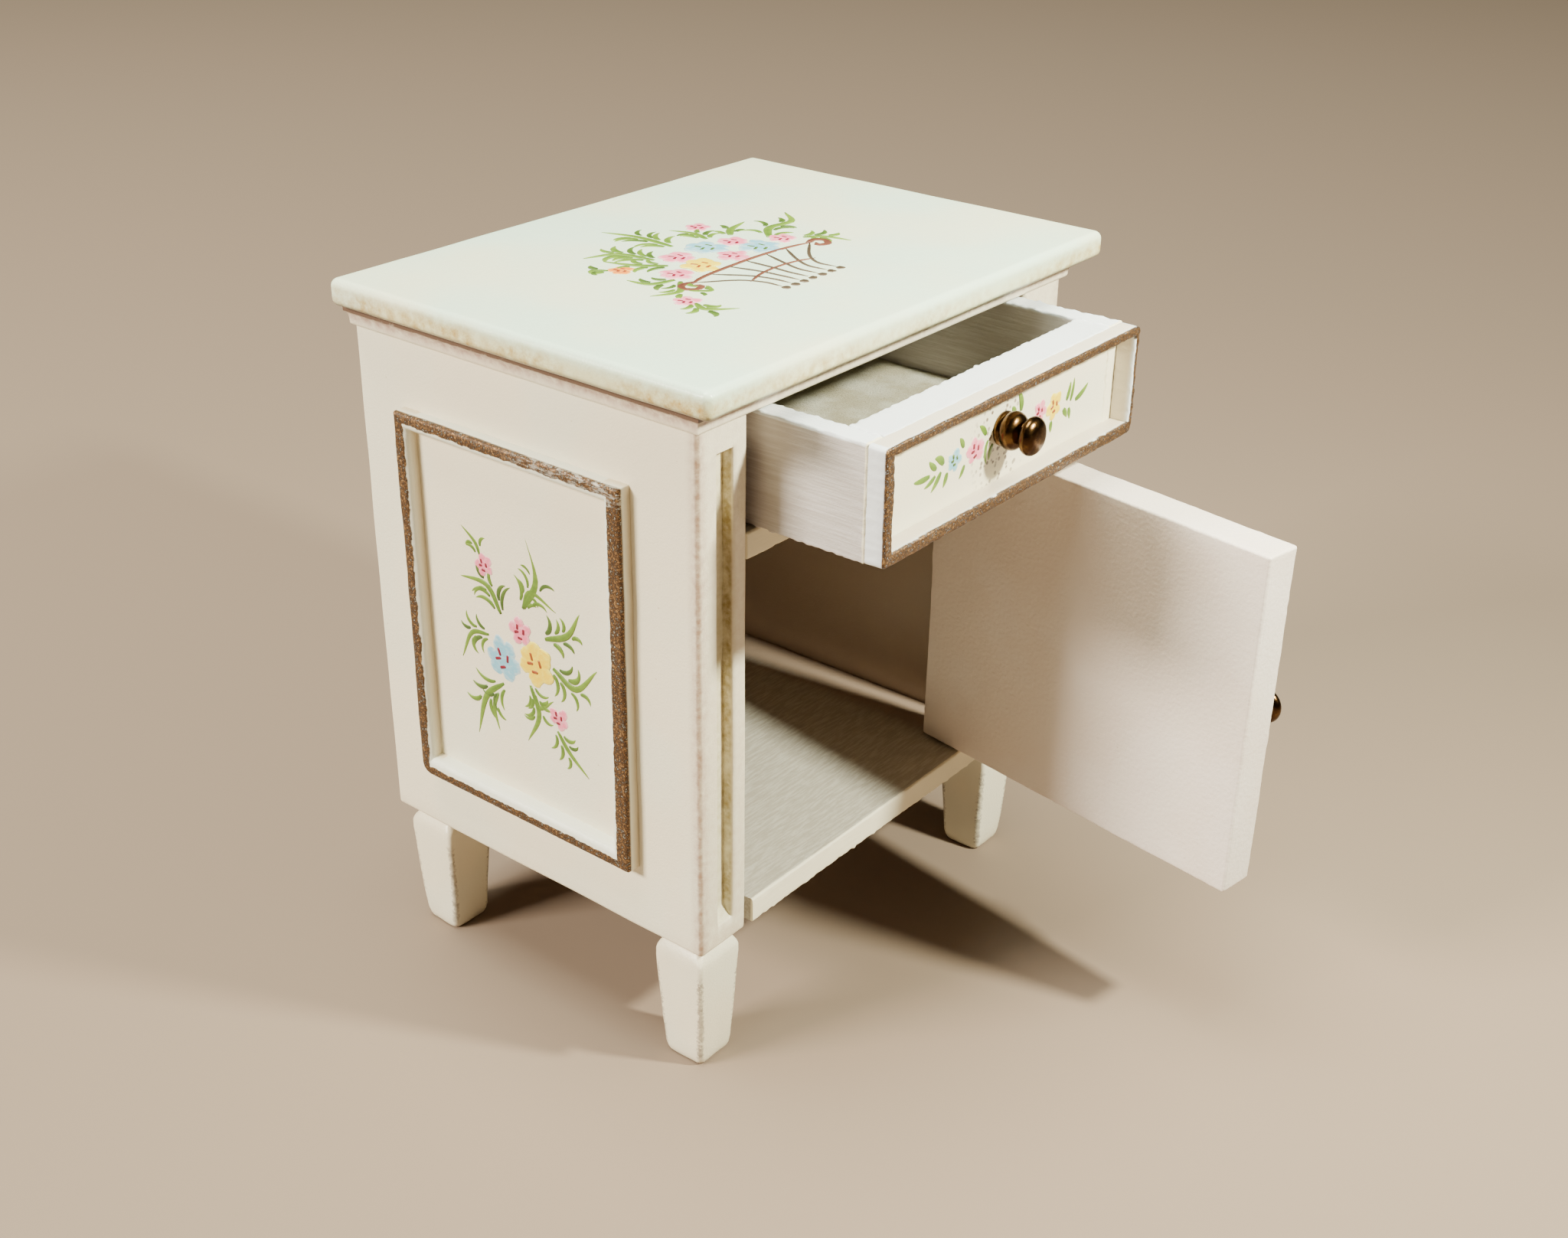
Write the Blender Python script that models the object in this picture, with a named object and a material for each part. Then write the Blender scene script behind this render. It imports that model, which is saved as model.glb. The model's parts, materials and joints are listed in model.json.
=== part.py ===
# Dolls' house bedside cabinet, twelfth scale: one drawer above one side-hung cupboard door.
#
# World frame: metres, +Z up, +X to the cabinet's right-hand side as seen by someone facing it,
# -Y to its front. The origin is on the floor, under the centre of the whole object's box with
# the door and the drawer standing open. Everything is parented to an empty, "cabinet", whose
# own origin is the centre of the cabinet's plan on the floor.

import math

import bmesh
import bpy
from mathutils import Vector

MM = 0.001

# ---------------------------------------------------------------- driving dimensions
CARCASS_WIDTH = 46.4 * MM
CARCASS_DEPTH = 35.0 * MM
CARCASS_BOTTOM = 12.15 * MM
TOTAL_HEIGHT = 60.0 * MM
GLUE_GAP = 0.1 * MM            # between two pieces that are glued together

TOP_THICKNESS = 2.3 * MM
TOP_HALF_WIDTH = 25.2 * MM
TOP_FRONT_OVERHANG = 2.7 * MM
TOP_BACK_OVERHANG = 0.3 * MM
TOP_CORNER_RADIUS = 0.8 * MM
TOP_UPPER_ROUND = 0.9 * MM
TOP_LOWER_ROUND = 0.7 * MM

CORNICE_BOTTOM = 55.95 * MM
CORNICE_TOP_PROJECTION = 0.95 * MM
CORNICE_FOOT_PROJECTION = 0.32 * MM

SIDE_THICKNESS = 5.4 * MM
SIDE_TOP = 57.6 * MM
FLUTE_CENTRE = 20.3 * MM       # from the cabinet's centre line
FLUTE_WIDTH = 1.8 * MM
FLUTE_DEPTH = 0.9 * MM
FLUTE_LOW = 14.1 * MM
FLUTE_HIGH = 53.7 * MM

RAIL_BOTTOM = 56.0 * MM
RAIL_DEPTH = 5.0 * MM
BACK_THICKNESS = 1.5 * MM
BOARD_THICKNESS = 2.1 * MM     # the floor of the cupboard and the drawer's runner board
FLOOR_NOTCH_WIDTH = 0.8 * MM
FLOOR_NOTCH_DEPTH = 1.1 * MM
DIVIDER_BOTTOM = 44.45 * MM

FRAME_BACK = 12.4 * MM         # outer rectangle of the moulding on each side
FRAME_FRONT = -11.2 * MM
FRAME_LOW = 17.95 * MM
FRAME_HIGH = 50.35 * MM
FRAME_STRIP = 1.7 * MM         # front and bottom strips
FRAME_BACK_STRIP = 1.25 * MM
FRAME_TOP_STRIP = 1.35 * MM
FRAME_PROUD = 1.25 * MM

FOOT_HEIGHT = 12.05 * MM
FOOT_INSET = 3.1 * MM          # a foot's axis from the carcass's outer faces
FOOT_NECK = 1.90 * MM          # half widths
FOOT_SHOULDER = 2.45 * MM
FOOT_ANKLE = 1.95 * MM
FOOT_SOLE = 1.63 * MM

DRAWER_OPEN = 11.1 * MM        # how far the drawer stands out at rest
DRAWER_OFFSET = 0.2 * MM       # the drawer sits a little to the right of the centre line
DRAWER_HALF_WIDTH = 16.9 * MM
DRAWER_BOTTOM = 46.7 * MM
DRAWER_TOP = 55.6 * MM
DRAWER_LENGTH = 33.0 * MM
DRAWER_WALL = 1.85 * MM
DRAWER_FRONT_THICKNESS = 3.1 * MM
DRAWER_BACK_THICKNESS = 1.6 * MM
DRAWER_FLOOR_THICKNESS = 1.2 * MM
DRAWER_STRIP_DEPTH = 1.65 * MM
DRAWER_STRIP_LEFT = 1.0 * MM   # widths of the four mouldings on the drawer's face
DRAWER_STRIP_RIGHT = 0.65 * MM
DRAWER_STRIP_TOP = 0.7 * MM
DRAWER_STRIP_BOTTOM = 0.95 * MM
DRAWER_KNOB_RISE = 0.55 * MM   # the knob's height above the middle of the drawer's face

DOOR_OPEN_ANGLE = math.radians(81.1)
DOOR_PIVOT_X = 14.0 * MM
DOOR_PIVOT_Y = -15.8 * MM
DOOR_HINGE_END = 2.5 * MM      # from the pivot to the door's hinge edge
DOOR_FREE_END = 30.9 * MM      # from the pivot to the door's free edge
DOOR_THICKNESS = 3.4 * MM
DOOR_BOTTOM = 14.55 * MM
DOOR_TOP = 44.2 * MM
DOOR_FRAME_MARGIN = 4.3 * MM
DOOR_FREE_MARGIN = 5.0 * MM    # the moulding's margin beside the knob
DOOR_KNOB_INSET = 2.5 * MM
DOOR_KNOB_Z = 28.6 * MM
PIN_RADIUS = 0.6 * MM
PIN_HOLE_RADIUS = 0.68 * MM
PIN_REACH = 2.5 * MM           # how far each pin enters the door

KNOB_RADIUS = 1.5 * MM
KNOB_LENGTH = 3.3 * MM

# ---------------------------------------------------------------- derived positions
HALF_WIDTH = CARCASS_WIDTH / 2
HALF_DEPTH = CARCASS_DEPTH / 2
INNER_HALF = HALF_WIDTH - SIDE_THICKNESS
PANEL_HALF = INNER_HALF - GLUE_GAP
TOP_BOTTOM = TOTAL_HEIGHT - TOP_THICKNESS
BACK_FRONT_FACE = HALF_DEPTH - GLUE_GAP - BACK_THICKNESS
DOOR_CORNER_Y = (
    DOOR_PIVOT_Y
    - DOOR_FREE_END * math.sin(DOOR_OPEN_ANGLE)
    - DOOR_THICKNESS / 2 * math.cos(DOOR_OPEN_ANGLE)
)
CABINET_Y = -(DOOR_CORNER_Y + HALF_DEPTH + TOP_BACK_OVERHANG) / 2

PAINT = (0.80, 0.76, 0.68)
PAINT_TOP = (0.84, 0.84, 0.78)
PAINT_DRAWER = (0.82, 0.80, 0.78)
GILT = (0.30, 0.20, 0.10)
BRASS = (0.16, 0.10, 0.05)
STEEL = (0.55, 0.54, 0.52)


# ---------------------------------------------------------------- helpers
def clear_scene():
    for old in list(bpy.data.objects):
        bpy.data.objects.remove(old, do_unlink=True)
    for old in list(bpy.data.meshes):
        bpy.data.meshes.remove(old)
    for old in list(bpy.data.materials):
        bpy.data.materials.remove(old)


def make_material(name, colour, roughness, metallic=0.0):
    made = bpy.data.materials.new(name)
    made.use_nodes = True
    shader = made.node_tree.nodes["Principled BSDF"]
    shader.inputs["Base Color"].default_value = (colour[0], colour[1], colour[2], 1.0)
    shader.inputs["Roughness"].default_value = roughness
    shader.inputs["Metallic"].default_value = metallic
    return made


def add_empty(name, location, parent=None, turn=0.0):
    empty = bpy.data.objects.new(name, None)
    empty.empty_display_size = 5 * MM
    empty.location = location
    empty.rotation_euler = (0.0, 0.0, turn)
    empty.parent = parent
    bpy.context.scene.collection.objects.link(empty)
    return empty


def add_object(name, bm, look, parent, location=(0.0, 0.0, 0.0), rotation=(0.0, 0.0, 0.0)):
    bmesh.ops.recalc_face_normals(bm, faces=bm.faces[:])
    mesh = bpy.data.meshes.new(name)
    bm.to_mesh(mesh)
    bm.free()
    obj = bpy.data.objects.new(name, mesh)
    obj.location = location
    obj.rotation_euler = rotation
    obj.parent = parent
    if look is not None:
        mesh.materials.append(make_material(name, look[0], look[1], look[2]))
    bpy.context.scene.collection.objects.link(obj)
    return obj


def add_bevel(obj, width, segments=2):
    bevel = obj.modifiers.new("Bevel", "BEVEL")
    bevel.width = width
    bevel.segments = segments
    bevel.limit_method = "ANGLE"
    bevel.angle_limit = math.radians(40)


def add_cut(obj, cutter):
    cutter.hide_render = True
    cutter.display_type = "WIRE"
    cut = obj.modifiers.new("Cut", "BOOLEAN")
    cut.operation = "DIFFERENCE"
    cut.solver = "EXACT"
    cut.object = cutter


def box(name, low, high, look, parent, round_edges=0.0):
    """A board between two opposite corners, its origin at its middle."""
    middle = [(a + b) / 2 for a, b in zip(low, high)]
    bm = bmesh.new()
    bmesh.ops.create_cube(bm, size=1.0)
    bmesh.ops.scale(bm, vec=Vector([b - a for a, b in zip(low, high)]), verts=bm.verts[:])
    obj = add_object(name, bm, look, parent, middle)
    if round_edges > 0.0:
        add_bevel(obj, round_edges)
    return obj


def prism(name, outline, low, high, look, parent, origin=(0.0, 0.0)):
    """An outline in plan, extruded from one height to another."""
    bm = bmesh.new()
    face = bm.faces.new([bm.verts.new((x - origin[0], y - origin[1], 0.0)) for x, y in outline])
    risen = bmesh.ops.extrude_face_region(bm, geom=[face])
    lifted = [part for part in risen["geom"] if isinstance(part, bmesh.types.BMVert)]
    bmesh.ops.translate(bm, vec=(0.0, 0.0, high - low), verts=lifted)
    return add_object(name, bm, look, parent, (origin[0], origin[1], low))


def loft(rings):
    """A closed skin through rings of equally many points, capped at both ends."""
    bm = bmesh.new()
    made = [[bm.verts.new(point) for point in ring] for ring in rings]
    for below, above in zip(made, made[1:]):
        count = len(below)
        for i in range(count):
            j = (i + 1) % count
            bm.faces.new((below[i], below[j], above[j], above[i]))
    bm.faces.new(list(reversed(made[0])))
    bm.faces.new(made[-1])
    return bm


def rounded_ring(half_x, half_y, radius, height, steps=4, centre=(0.0, 0.0)):
    """A rectangle with rounded corners, as points at one height."""
    points = []
    for corner in range(4):
        start = corner * math.pi / 2
        sign_x = (1, -1, -1, 1)[corner]
        sign_y = (1, 1, -1, -1)[corner]
        for step in range(steps + 1):
            angle = start + math.pi / 2 * step / steps
            x = centre[0] + sign_x * (half_x - radius) + radius * math.cos(angle)
            y = centre[1] + sign_y * (half_y - radius) + radius * math.sin(angle)
            points.append((x, y, height))
    return points


def cylinder(name, radius, low, high, look, parent, at, sides=24):
    bm = bmesh.new()
    bmesh.ops.create_cone(
        bm, cap_ends=True, segments=sides, radius1=radius, radius2=radius, depth=high - low
    )
    obj = add_object(name, bm, look, parent, (at[0], at[1], (low + high) / 2))
    obj.data.shade_smooth()
    obj.data.set_sharp_from_angle(angle=math.radians(40))
    return obj


def moulding_frame(prefix, outer, inner, profile, sides, look, parent, location, rotation):
    """Four mitred strips round a panel, one object each.

    outer and inner are (left, right, low, high) rectangles in the strips' own plane, X and Z.
    profile is a list of (how far from outer to inner, height along -Y). sides names the strips.
    """
    corners = {
        "low": ((0, 2), (1, 2)), "high": ((1, 3), (0, 3)),
        "left": ((0, 3), (0, 2)), "right": ((1, 2), (1, 3)),
    }
    for side, name in sides.items():
        first, last = corners[side]
        along = Vector((1.0, 0.0)) if side in ("low", "high") else Vector((0.0, 1.0))
        if side in ("high", "left"):
            along = -along
        ends = []
        for corner, sign in ((first, 1.0), (last, -1.0)):
            ring = []
            for share, rise in profile:
                x = outer[corner[0]] + (inner[corner[0]] - outer[corner[0]]) * share
                z = outer[corner[1]] + (inner[corner[1]] - outer[corner[1]]) * share
                spot = Vector((x, z)) + along * sign * GLUE_GAP * 0.75
                ring.append((spot.x, -rise, spot.y))
            ends.append(ring)
        add_object(f"{prefix}_{name}", loft(ends), look, parent, location, rotation)


def knob(name, look, parent, location):
    """A turned knob of two beads on a flanged neck; it points along -Y from its origin."""
    profile = [(0.78, 0.0), (0.78, 0.28), (1.18, 0.42), (1.42, 0.62), (1.46, 0.78), (1.2, 0.92)]
    bead = KNOB_RADIUS / MM
    for centre, half in ((1.50, 0.52), (2.80, 0.50)):
        for step in range(7):
            angle = math.radians(-72 + 24 * step)
            profile.append((bead * (0.42 + 0.58 * math.cos(angle)), centre + half * math.sin(angle)))
    profile.append((0.42, KNOB_LENGTH / MM))
    bm = bmesh.new()
    for radius, rise in profile:
        bm.verts.new((radius * MM, -rise * MM, 0.0))
    bm.verts.new((0.0, -KNOB_LENGTH, 0.0))
    bm.verts.new((0.0, 0.0, 0.0))
    bm.verts.ensure_lookup_table()
    count = len(bm.verts)
    edges = [bm.edges.new((bm.verts[i], bm.verts[i + 1])) for i in range(count - 2)]
    edges.append(bm.edges.new((bm.verts[count - 1], bm.verts[0])))
    bmesh.ops.spin(
        bm, geom=bm.verts[:] + edges, cent=(0.0, 0.0, 0.0), axis=(0.0, 1.0, 0.0),
        angle=math.tau, steps=24, use_merge=True,
    )
    bmesh.ops.remove_doubles(bm, verts=bm.verts[:], dist=1e-6)
    obj = add_object(name, bm, look, parent, location)
    obj.data.shade_smooth()
    obj.data.set_sharp_from_angle(angle=math.radians(50))
    return obj


# ---------------------------------------------------------------- the cabinet
def build_top(root):
    front = -HALF_DEPTH - TOP_FRONT_OVERHANG
    back = HALF_DEPTH + TOP_BACK_OVERHANG
    middle = (front + back) / 2
    half_y = (back - front) / 2
    rings = []
    for step in range(4):
        angle = math.pi / 2 * step / 3
        inset = TOP_LOWER_ROUND * (1 - math.sin(angle))
        rise = TOP_LOWER_ROUND * (1 - math.cos(angle))
        rings.append((inset, rise))
    for step in range(4):
        angle = math.pi / 2 * step / 3
        inset = TOP_UPPER_ROUND * (1 - math.cos(angle))
        rise = TOP_THICKNESS - TOP_UPPER_ROUND * (1 - math.sin(angle))
        rings.append((inset, rise))
    skin = loft([
        rounded_ring(TOP_HALF_WIDTH - inset, half_y - inset, TOP_CORNER_RADIUS, rise)
        for inset, rise in rings
    ])
    board = add_object("top_board", skin, (PAINT_TOP, 0.4, 0.0), root, (0.0, middle, TOP_BOTTOM))
    board.data.shade_smooth()
    board.data.set_sharp_from_angle(angle=math.radians(50))


def build_cornice(root):
    """A small cove under the top board, mitred at the two front corners."""
    foot = CORNICE_FOOT_PROJECTION
    reach = CORNICE_TOP_PROJECTION
    rise = SIDE_TOP - CORNICE_BOTTOM
    profile = [(GLUE_GAP, CORNICE_BOTTOM), (foot, CORNICE_BOTTOM)]
    for step in range(1, 5):
        angle = math.pi / 2 * step / 4
        profile.append((
            reach - (reach - foot) * math.cos(angle),
            CORNICE_BOTTOM + rise * 0.2 + rise * 0.65 * math.sin(angle),
        ))
    profile += [(reach, SIDE_TOP), (GLUE_GAP, SIDE_TOP)]
    ends = []
    for sign in (-1, 1):
        ends.append([(sign * (HALF_WIDTH + out - GLUE_GAP * 0.75), -out, z) for out, z in profile])
    add_object("cornice_front", loft(ends), (PAINT, 0.45, 0.0), root, (0.0, -HALF_DEPTH, 0.0))
    for name, sign in (("cornice_left", -1), ("cornice_right", 1)):
        front = [(sign * out, -HALF_DEPTH - out + GLUE_GAP * 0.75, z) for out, z in profile]
        back = [(sign * out, HALF_DEPTH, z) for out, z in profile]
        add_object(name, loft([front, back]), (PAINT, 0.45, 0.0), root, (sign * HALF_WIDTH, 0.0, 0.0))


def build_sides(root):
    for name, sign in (("left_side", -1), ("right_side", 1)):
        outer = sign * HALF_WIDTH
        inner = sign * INNER_HALF
        low = (min(outer, inner), -HALF_DEPTH, CARCASS_BOTTOM)
        high = (max(outer, inner), HALF_DEPTH, SIDE_TOP)
        board = box(name, low, high, (PAINT, 0.45, 0.0), root)
        add_bevel(board, 0.3 * MM, 2)
        flute = box(
            name + "_flute_cutter",
            (sign * FLUTE_CENTRE - FLUTE_WIDTH / 2, -HALF_DEPTH - 1.0 * MM, FLUTE_LOW),
            (sign * FLUTE_CENTRE + FLUTE_WIDTH / 2, -HALF_DEPTH + FLUTE_DEPTH, FLUTE_HIGH),
            None, root,
        )
        add_cut(board, flute)


def build_boards(root):
    look = (PAINT, 0.5, 0.0)
    front = -HALF_DEPTH + GLUE_GAP
    back = BACK_FRONT_FACE - GLUE_GAP
    box("top_rail", (-PANEL_HALF, -HALF_DEPTH, RAIL_BOTTOM),
        (PANEL_HALF, -HALF_DEPTH + RAIL_DEPTH, SIDE_TOP), look, root)
    box("back_panel", (-PANEL_HALF, BACK_FRONT_FACE, CARCASS_BOTTOM + GLUE_GAP),
        (PANEL_HALF, HALF_DEPTH - GLUE_GAP, SIDE_TOP - GLUE_GAP), look, root)
    notch_x = -PANEL_HALF + FLOOR_NOTCH_WIDTH
    notch_y = front + FLOOR_NOTCH_DEPTH
    outline = [
        (notch_x, front), (PANEL_HALF, front), (PANEL_HALF, back),
        (-PANEL_HALF, back), (-PANEL_HALF, notch_y), (notch_x, notch_y),
    ]
    floor = prism("bottom_board", outline, CARCASS_BOTTOM, CARCASS_BOTTOM + BOARD_THICKNESS, look, root)
    divider = box("drawer_divider", (-PANEL_HALF, front, DIVIDER_BOTTOM),
                  (PANEL_HALF, back, DIVIDER_BOTTOM + BOARD_THICKNESS), look, root)
    pivot = (DOOR_PIVOT_X, DOOR_PIVOT_Y)
    floor_top = CARCASS_BOTTOM + BOARD_THICKNESS
    divider_top = DIVIDER_BOTTOM + BOARD_THICKNESS
    add_cut(floor, cylinder("floor_hole_cutter", PIN_HOLE_RADIUS, CARCASS_BOTTOM - 1 * MM,
                            floor_top + 1 * MM, None, root, pivot))
    add_cut(divider, cylinder("divider_hole_cutter", PIN_HOLE_RADIUS, DIVIDER_BOTTOM - 1 * MM,
                              divider_top + 1 * MM, None, root, pivot))
    steel = (STEEL, 0.35, 1.0)
    cylinder("door_pin_lower", PIN_RADIUS, CARCASS_BOTTOM, DOOR_BOTTOM + PIN_REACH, steel, root, pivot)
    cylinder("door_pin_upper", PIN_RADIUS, DOOR_TOP - PIN_REACH, divider_top - GLUE_GAP, steel, root, pivot)


def build_side_mouldings(root):
    outer = (FRAME_FRONT, FRAME_BACK, FRAME_LOW, FRAME_HIGH)
    inner = (
        FRAME_FRONT + FRAME_STRIP, FRAME_BACK - FRAME_BACK_STRIP,
        FRAME_LOW + FRAME_STRIP, FRAME_HIGH - FRAME_TOP_STRIP,
    )
    base = GLUE_GAP
    top = FRAME_PROUD
    profile = [(0.0, base), (0.0, top - 0.1 * MM), (0.06, top), (0.8, top), (0.94, top - 0.22 * MM), (1.0, base)]
    look = (GILT, 0.45, 0.3)
    # The strips' own X runs along the cabinet's depth, so each frame is turned a quarter.
    sides = {"low": "bottom", "high": "top", "left": "front", "right": "back"}
    for name, sign in (("right_moulding", 1), ("left_moulding", -1)):
        here = outer if sign > 0 else (-outer[1], -outer[0], outer[2], outer[3])
        there = inner if sign > 0 else (-inner[1], -inner[0], inner[2], inner[3])
        names = dict(sides)
        if sign < 0:
            names["left"] = "back"
            names["right"] = "front"
        moulding_frame(name, here, there, profile, names, look, root,
                       (sign * HALF_WIDTH, 0.0, 0.0), (0.0, 0.0, sign * math.pi / 2))


def build_feet(root):
    """Square tapering feet with a neck, a chamfered shoulder and rounded soles."""
    levels = [
        (0.0, FOOT_SOLE, 0.35), (0.3, FOOT_SOLE + 0.22 * MM, 0.45), (1.0, FOOT_ANKLE, 0.42),
        (3.5, 2.10 * MM, 0.38), (6.0, 2.27 * MM, 0.36), (8.5, 2.39 * MM, 0.36),
        (10.2, FOOT_SHOULDER, 0.38), (10.75, FOOT_SHOULDER - 0.08 * MM, 0.45),
        (11.35, FOOT_NECK + 0.05 * MM, 0.4), (11.5, FOOT_NECK, 0.3),
    ]
    for name, sign_x, sign_y in (
        ("foot_front_left", -1, -1), ("foot_front_right", 1, -1),
        ("foot_back_left", -1, 1), ("foot_back_right", 1, 1),
    ):
        rings = [rounded_ring(half, half, corner * MM, z * MM, 3) for z, half, corner in levels]
        rings.append(rounded_ring(FOOT_NECK, FOOT_NECK, 0.3 * MM, FOOT_HEIGHT, 3))
        where = (sign_x * (HALF_WIDTH - FOOT_INSET), sign_y * (HALF_DEPTH - FOOT_INSET), 0.0)
        foot = add_object(name, loft(rings), (PAINT, 0.4, 0.0), root, where)
        foot.data.shade_smooth()
        foot.data.set_sharp_from_angle(angle=math.radians(50))


# ---------------------------------------------------------------- the drawer
def build_drawer(root):
    """A box open at the top, its face a board with four mouldings in front of it."""
    face_y = -HALF_DEPTH - DRAWER_OPEN
    drawer = add_empty("drawer", (DRAWER_OFFSET, face_y, DRAWER_BOTTOM), root)
    half = DRAWER_HALF_WIDTH
    height = DRAWER_TOP - DRAWER_BOTTOM
    panel = DRAWER_STRIP_DEPTH
    board_back = panel + DRAWER_FRONT_THICKNESS
    rear = DRAWER_LENGTH
    gap = GLUE_GAP
    look = (PAINT_DRAWER, 0.6, 0.0)
    inside = half - DRAWER_WALL
    box("drawer_side_left", (-half, panel, 0.0), (-inside, rear, height), look, drawer)
    box("drawer_side_right", (inside, panel, 0.0), (half, rear, height), look, drawer)
    box("drawer_front", (-inside + gap, panel, 0.0), (inside - gap, board_back, height),
        (PAINT_DRAWER, 0.45, 0.0), drawer)
    box("drawer_back", (-inside + gap, rear - DRAWER_BACK_THICKNESS, 0.0),
        (inside - gap, rear, height), look, drawer)
    box("drawer_bottom", (-inside + gap, board_back + gap, 0.0),
        (inside - gap, rear - DRAWER_BACK_THICKNESS - gap, DRAWER_FLOOR_THICKNESS), look, drawer)
    outer = (-half, half, 0.0, height)
    inner = (
        -half + DRAWER_STRIP_LEFT, half - DRAWER_STRIP_RIGHT,
        DRAWER_STRIP_BOTTOM, height - DRAWER_STRIP_TOP,
    )
    base = gap - panel
    profile = [(0.0, base), (0.0, -0.12 * MM), (0.12, 0.0), (0.92, 0.0), (1.0, -0.12 * MM), (1.0, base)]
    names = {"low": "bottom", "high": "top", "left": "left", "right": "right"}
    moulding_frame("drawer_moulding", outer, inner, profile, names, (GILT, 0.45, 0.3), drawer,
                   (0.0, 0.0, 0.0), (0.0, 0.0, 0.0))
    knob("drawer_knob", (BRASS, 0.3, 1.0), drawer, (0.0, panel - gap, height / 2 + DRAWER_KNOB_RISE))


# ---------------------------------------------------------------- the door
def build_door(root):
    """A slab hung on two pins. Its empty stands on the pins' axis, turned to the open angle."""
    door = add_empty("door", (DOOR_PIVOT_X, DOOR_PIVOT_Y, DOOR_BOTTOM), root, DOOR_OPEN_ANGLE)
    height = DOOR_TOP - DOOR_BOTTOM
    half = DOOR_THICKNESS / 2
    slab = box("door_board", (-DOOR_FREE_END, -half, 0.0), (DOOR_HINGE_END, half, height),
               (PAINT_DRAWER, 0.45, 0.0), door, 0.25 * MM)
    for name, low, high in (
        ("door_lower_hole_cutter", -1.0 * MM, PIN_REACH + 0.15 * MM),
        ("door_upper_hole_cutter", height - PIN_REACH - 0.15 * MM, height + 1.0 * MM),
    ):
        add_cut(slab, cylinder(name, PIN_HOLE_RADIUS, low, high, None, door, (0.0, 0.0)))
    margin = DOOR_FRAME_MARGIN
    outer = (-DOOR_FREE_END + DOOR_FREE_MARGIN, DOOR_HINGE_END - margin, margin, height - margin)
    strip = FRAME_STRIP
    inner = (outer[0] + strip, outer[1] - strip, outer[2] + strip, outer[3] - strip)
    base = GLUE_GAP
    top = FRAME_PROUD
    profile = [(0.0, base), (0.0, top - 0.1 * MM), (0.06, top), (0.8, top), (0.94, top - 0.22 * MM), (1.0, base)]
    names = {"low": "bottom", "high": "top", "left": "free", "right": "hinge"}
    moulding_frame("door_moulding", outer, inner, profile, names, (GILT, 0.45, 0.3), door,
                   (0.0, -half, 0.0), (0.0, 0.0, 0.0))
    knob("door_knob", (BRASS, 0.3, 1.0), door,
         (-DOOR_FREE_END + DOOR_KNOB_INSET, -half - GLUE_GAP, DOOR_KNOB_Z - DOOR_BOTTOM))


def main():
    clear_scene()
    root = add_empty("cabinet", (0.0, CABINET_Y, 0.0))
    build_top(root)
    build_cornice(root)
    build_sides(root)
    build_boards(root)
    build_side_mouldings(root)
    build_feet(root)
    build_drawer(root)
    build_door(root)
    bpy.context.view_layer.update()


main()
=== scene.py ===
# The looks of a dolls' house bedside cabinet: cream paint rubbed with brown wax, bronze-gold
# lines on the mouldings, small painted sprays of flowers and dark brass knobs.
#
# Lengths are written in millimetres. Every piece is built in the local frame of its body:
#   cabinet  origin on the floor under the middle of the carcass, -Y to the front
#   drawer   origin at the bottom middle of the drawer's face, -Y out of the face
#   door     origin at the foot of the hinge axis, the closed door lying along -X

import json
import math
import random

import bmesh
import bpy
from mathutils import Matrix, Vector, noise


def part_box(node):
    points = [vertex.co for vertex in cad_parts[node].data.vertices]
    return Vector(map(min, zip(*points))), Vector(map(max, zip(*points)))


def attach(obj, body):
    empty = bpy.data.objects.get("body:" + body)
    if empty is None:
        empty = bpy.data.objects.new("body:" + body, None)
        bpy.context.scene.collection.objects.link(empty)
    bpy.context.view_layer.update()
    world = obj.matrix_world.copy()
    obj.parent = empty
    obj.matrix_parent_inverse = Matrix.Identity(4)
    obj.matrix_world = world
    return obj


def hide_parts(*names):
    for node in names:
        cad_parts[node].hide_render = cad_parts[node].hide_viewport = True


MM = 0.001

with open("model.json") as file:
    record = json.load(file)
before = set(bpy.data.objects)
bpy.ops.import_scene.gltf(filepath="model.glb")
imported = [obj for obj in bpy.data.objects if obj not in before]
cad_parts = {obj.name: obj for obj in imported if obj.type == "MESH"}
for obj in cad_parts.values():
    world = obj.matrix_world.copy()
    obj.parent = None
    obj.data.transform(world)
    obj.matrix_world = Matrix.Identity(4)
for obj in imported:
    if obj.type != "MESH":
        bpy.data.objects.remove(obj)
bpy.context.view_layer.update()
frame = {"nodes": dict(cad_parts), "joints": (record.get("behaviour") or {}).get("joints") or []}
nodes = frame["nodes"]


# ---------------------------------------------------------------- places and sizes
def in_mm(value):
    return round(value / MM, 2)


side_low, side_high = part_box("right_side")
PLAN_Y = (side_low.y + side_high.y) / 2
SIDE_INNER, SIDE_OUTER = in_mm(side_low.x), in_mm(side_high.x)
SIDE_FOOT, SIDE_TOP = in_mm(side_low.z), in_mm(side_high.z)
HALF_DEPTH = in_mm((side_high.y - side_low.y) / 2)

top_low, top_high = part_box("top_board")
TOP_HALF, TOP_UNDER = in_mm(top_high.x), in_mm(top_low.z)

foot_low, foot_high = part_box("foot_back_right")
FOOT_X = in_mm((foot_low.x + foot_high.x) / 2)
FOOT_Y = in_mm((foot_low.y + foot_high.y) / 2 - PLAN_Y)

strip_low, strip_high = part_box("drawer_moulding_bottom")
front_low, front_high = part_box("drawer_front")
DRAWER_HALF = in_mm((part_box("drawer_side_right")[1].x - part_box("drawer_side_left")[0].x) / 2)
DRAWER_HEIGHT = in_mm(front_high.z - front_low.z)
DRAWER_FACE = 1.66  # where the drawer's own boards begin, behind the moulding on its face
DRAWER_BACK = 33.0

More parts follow.
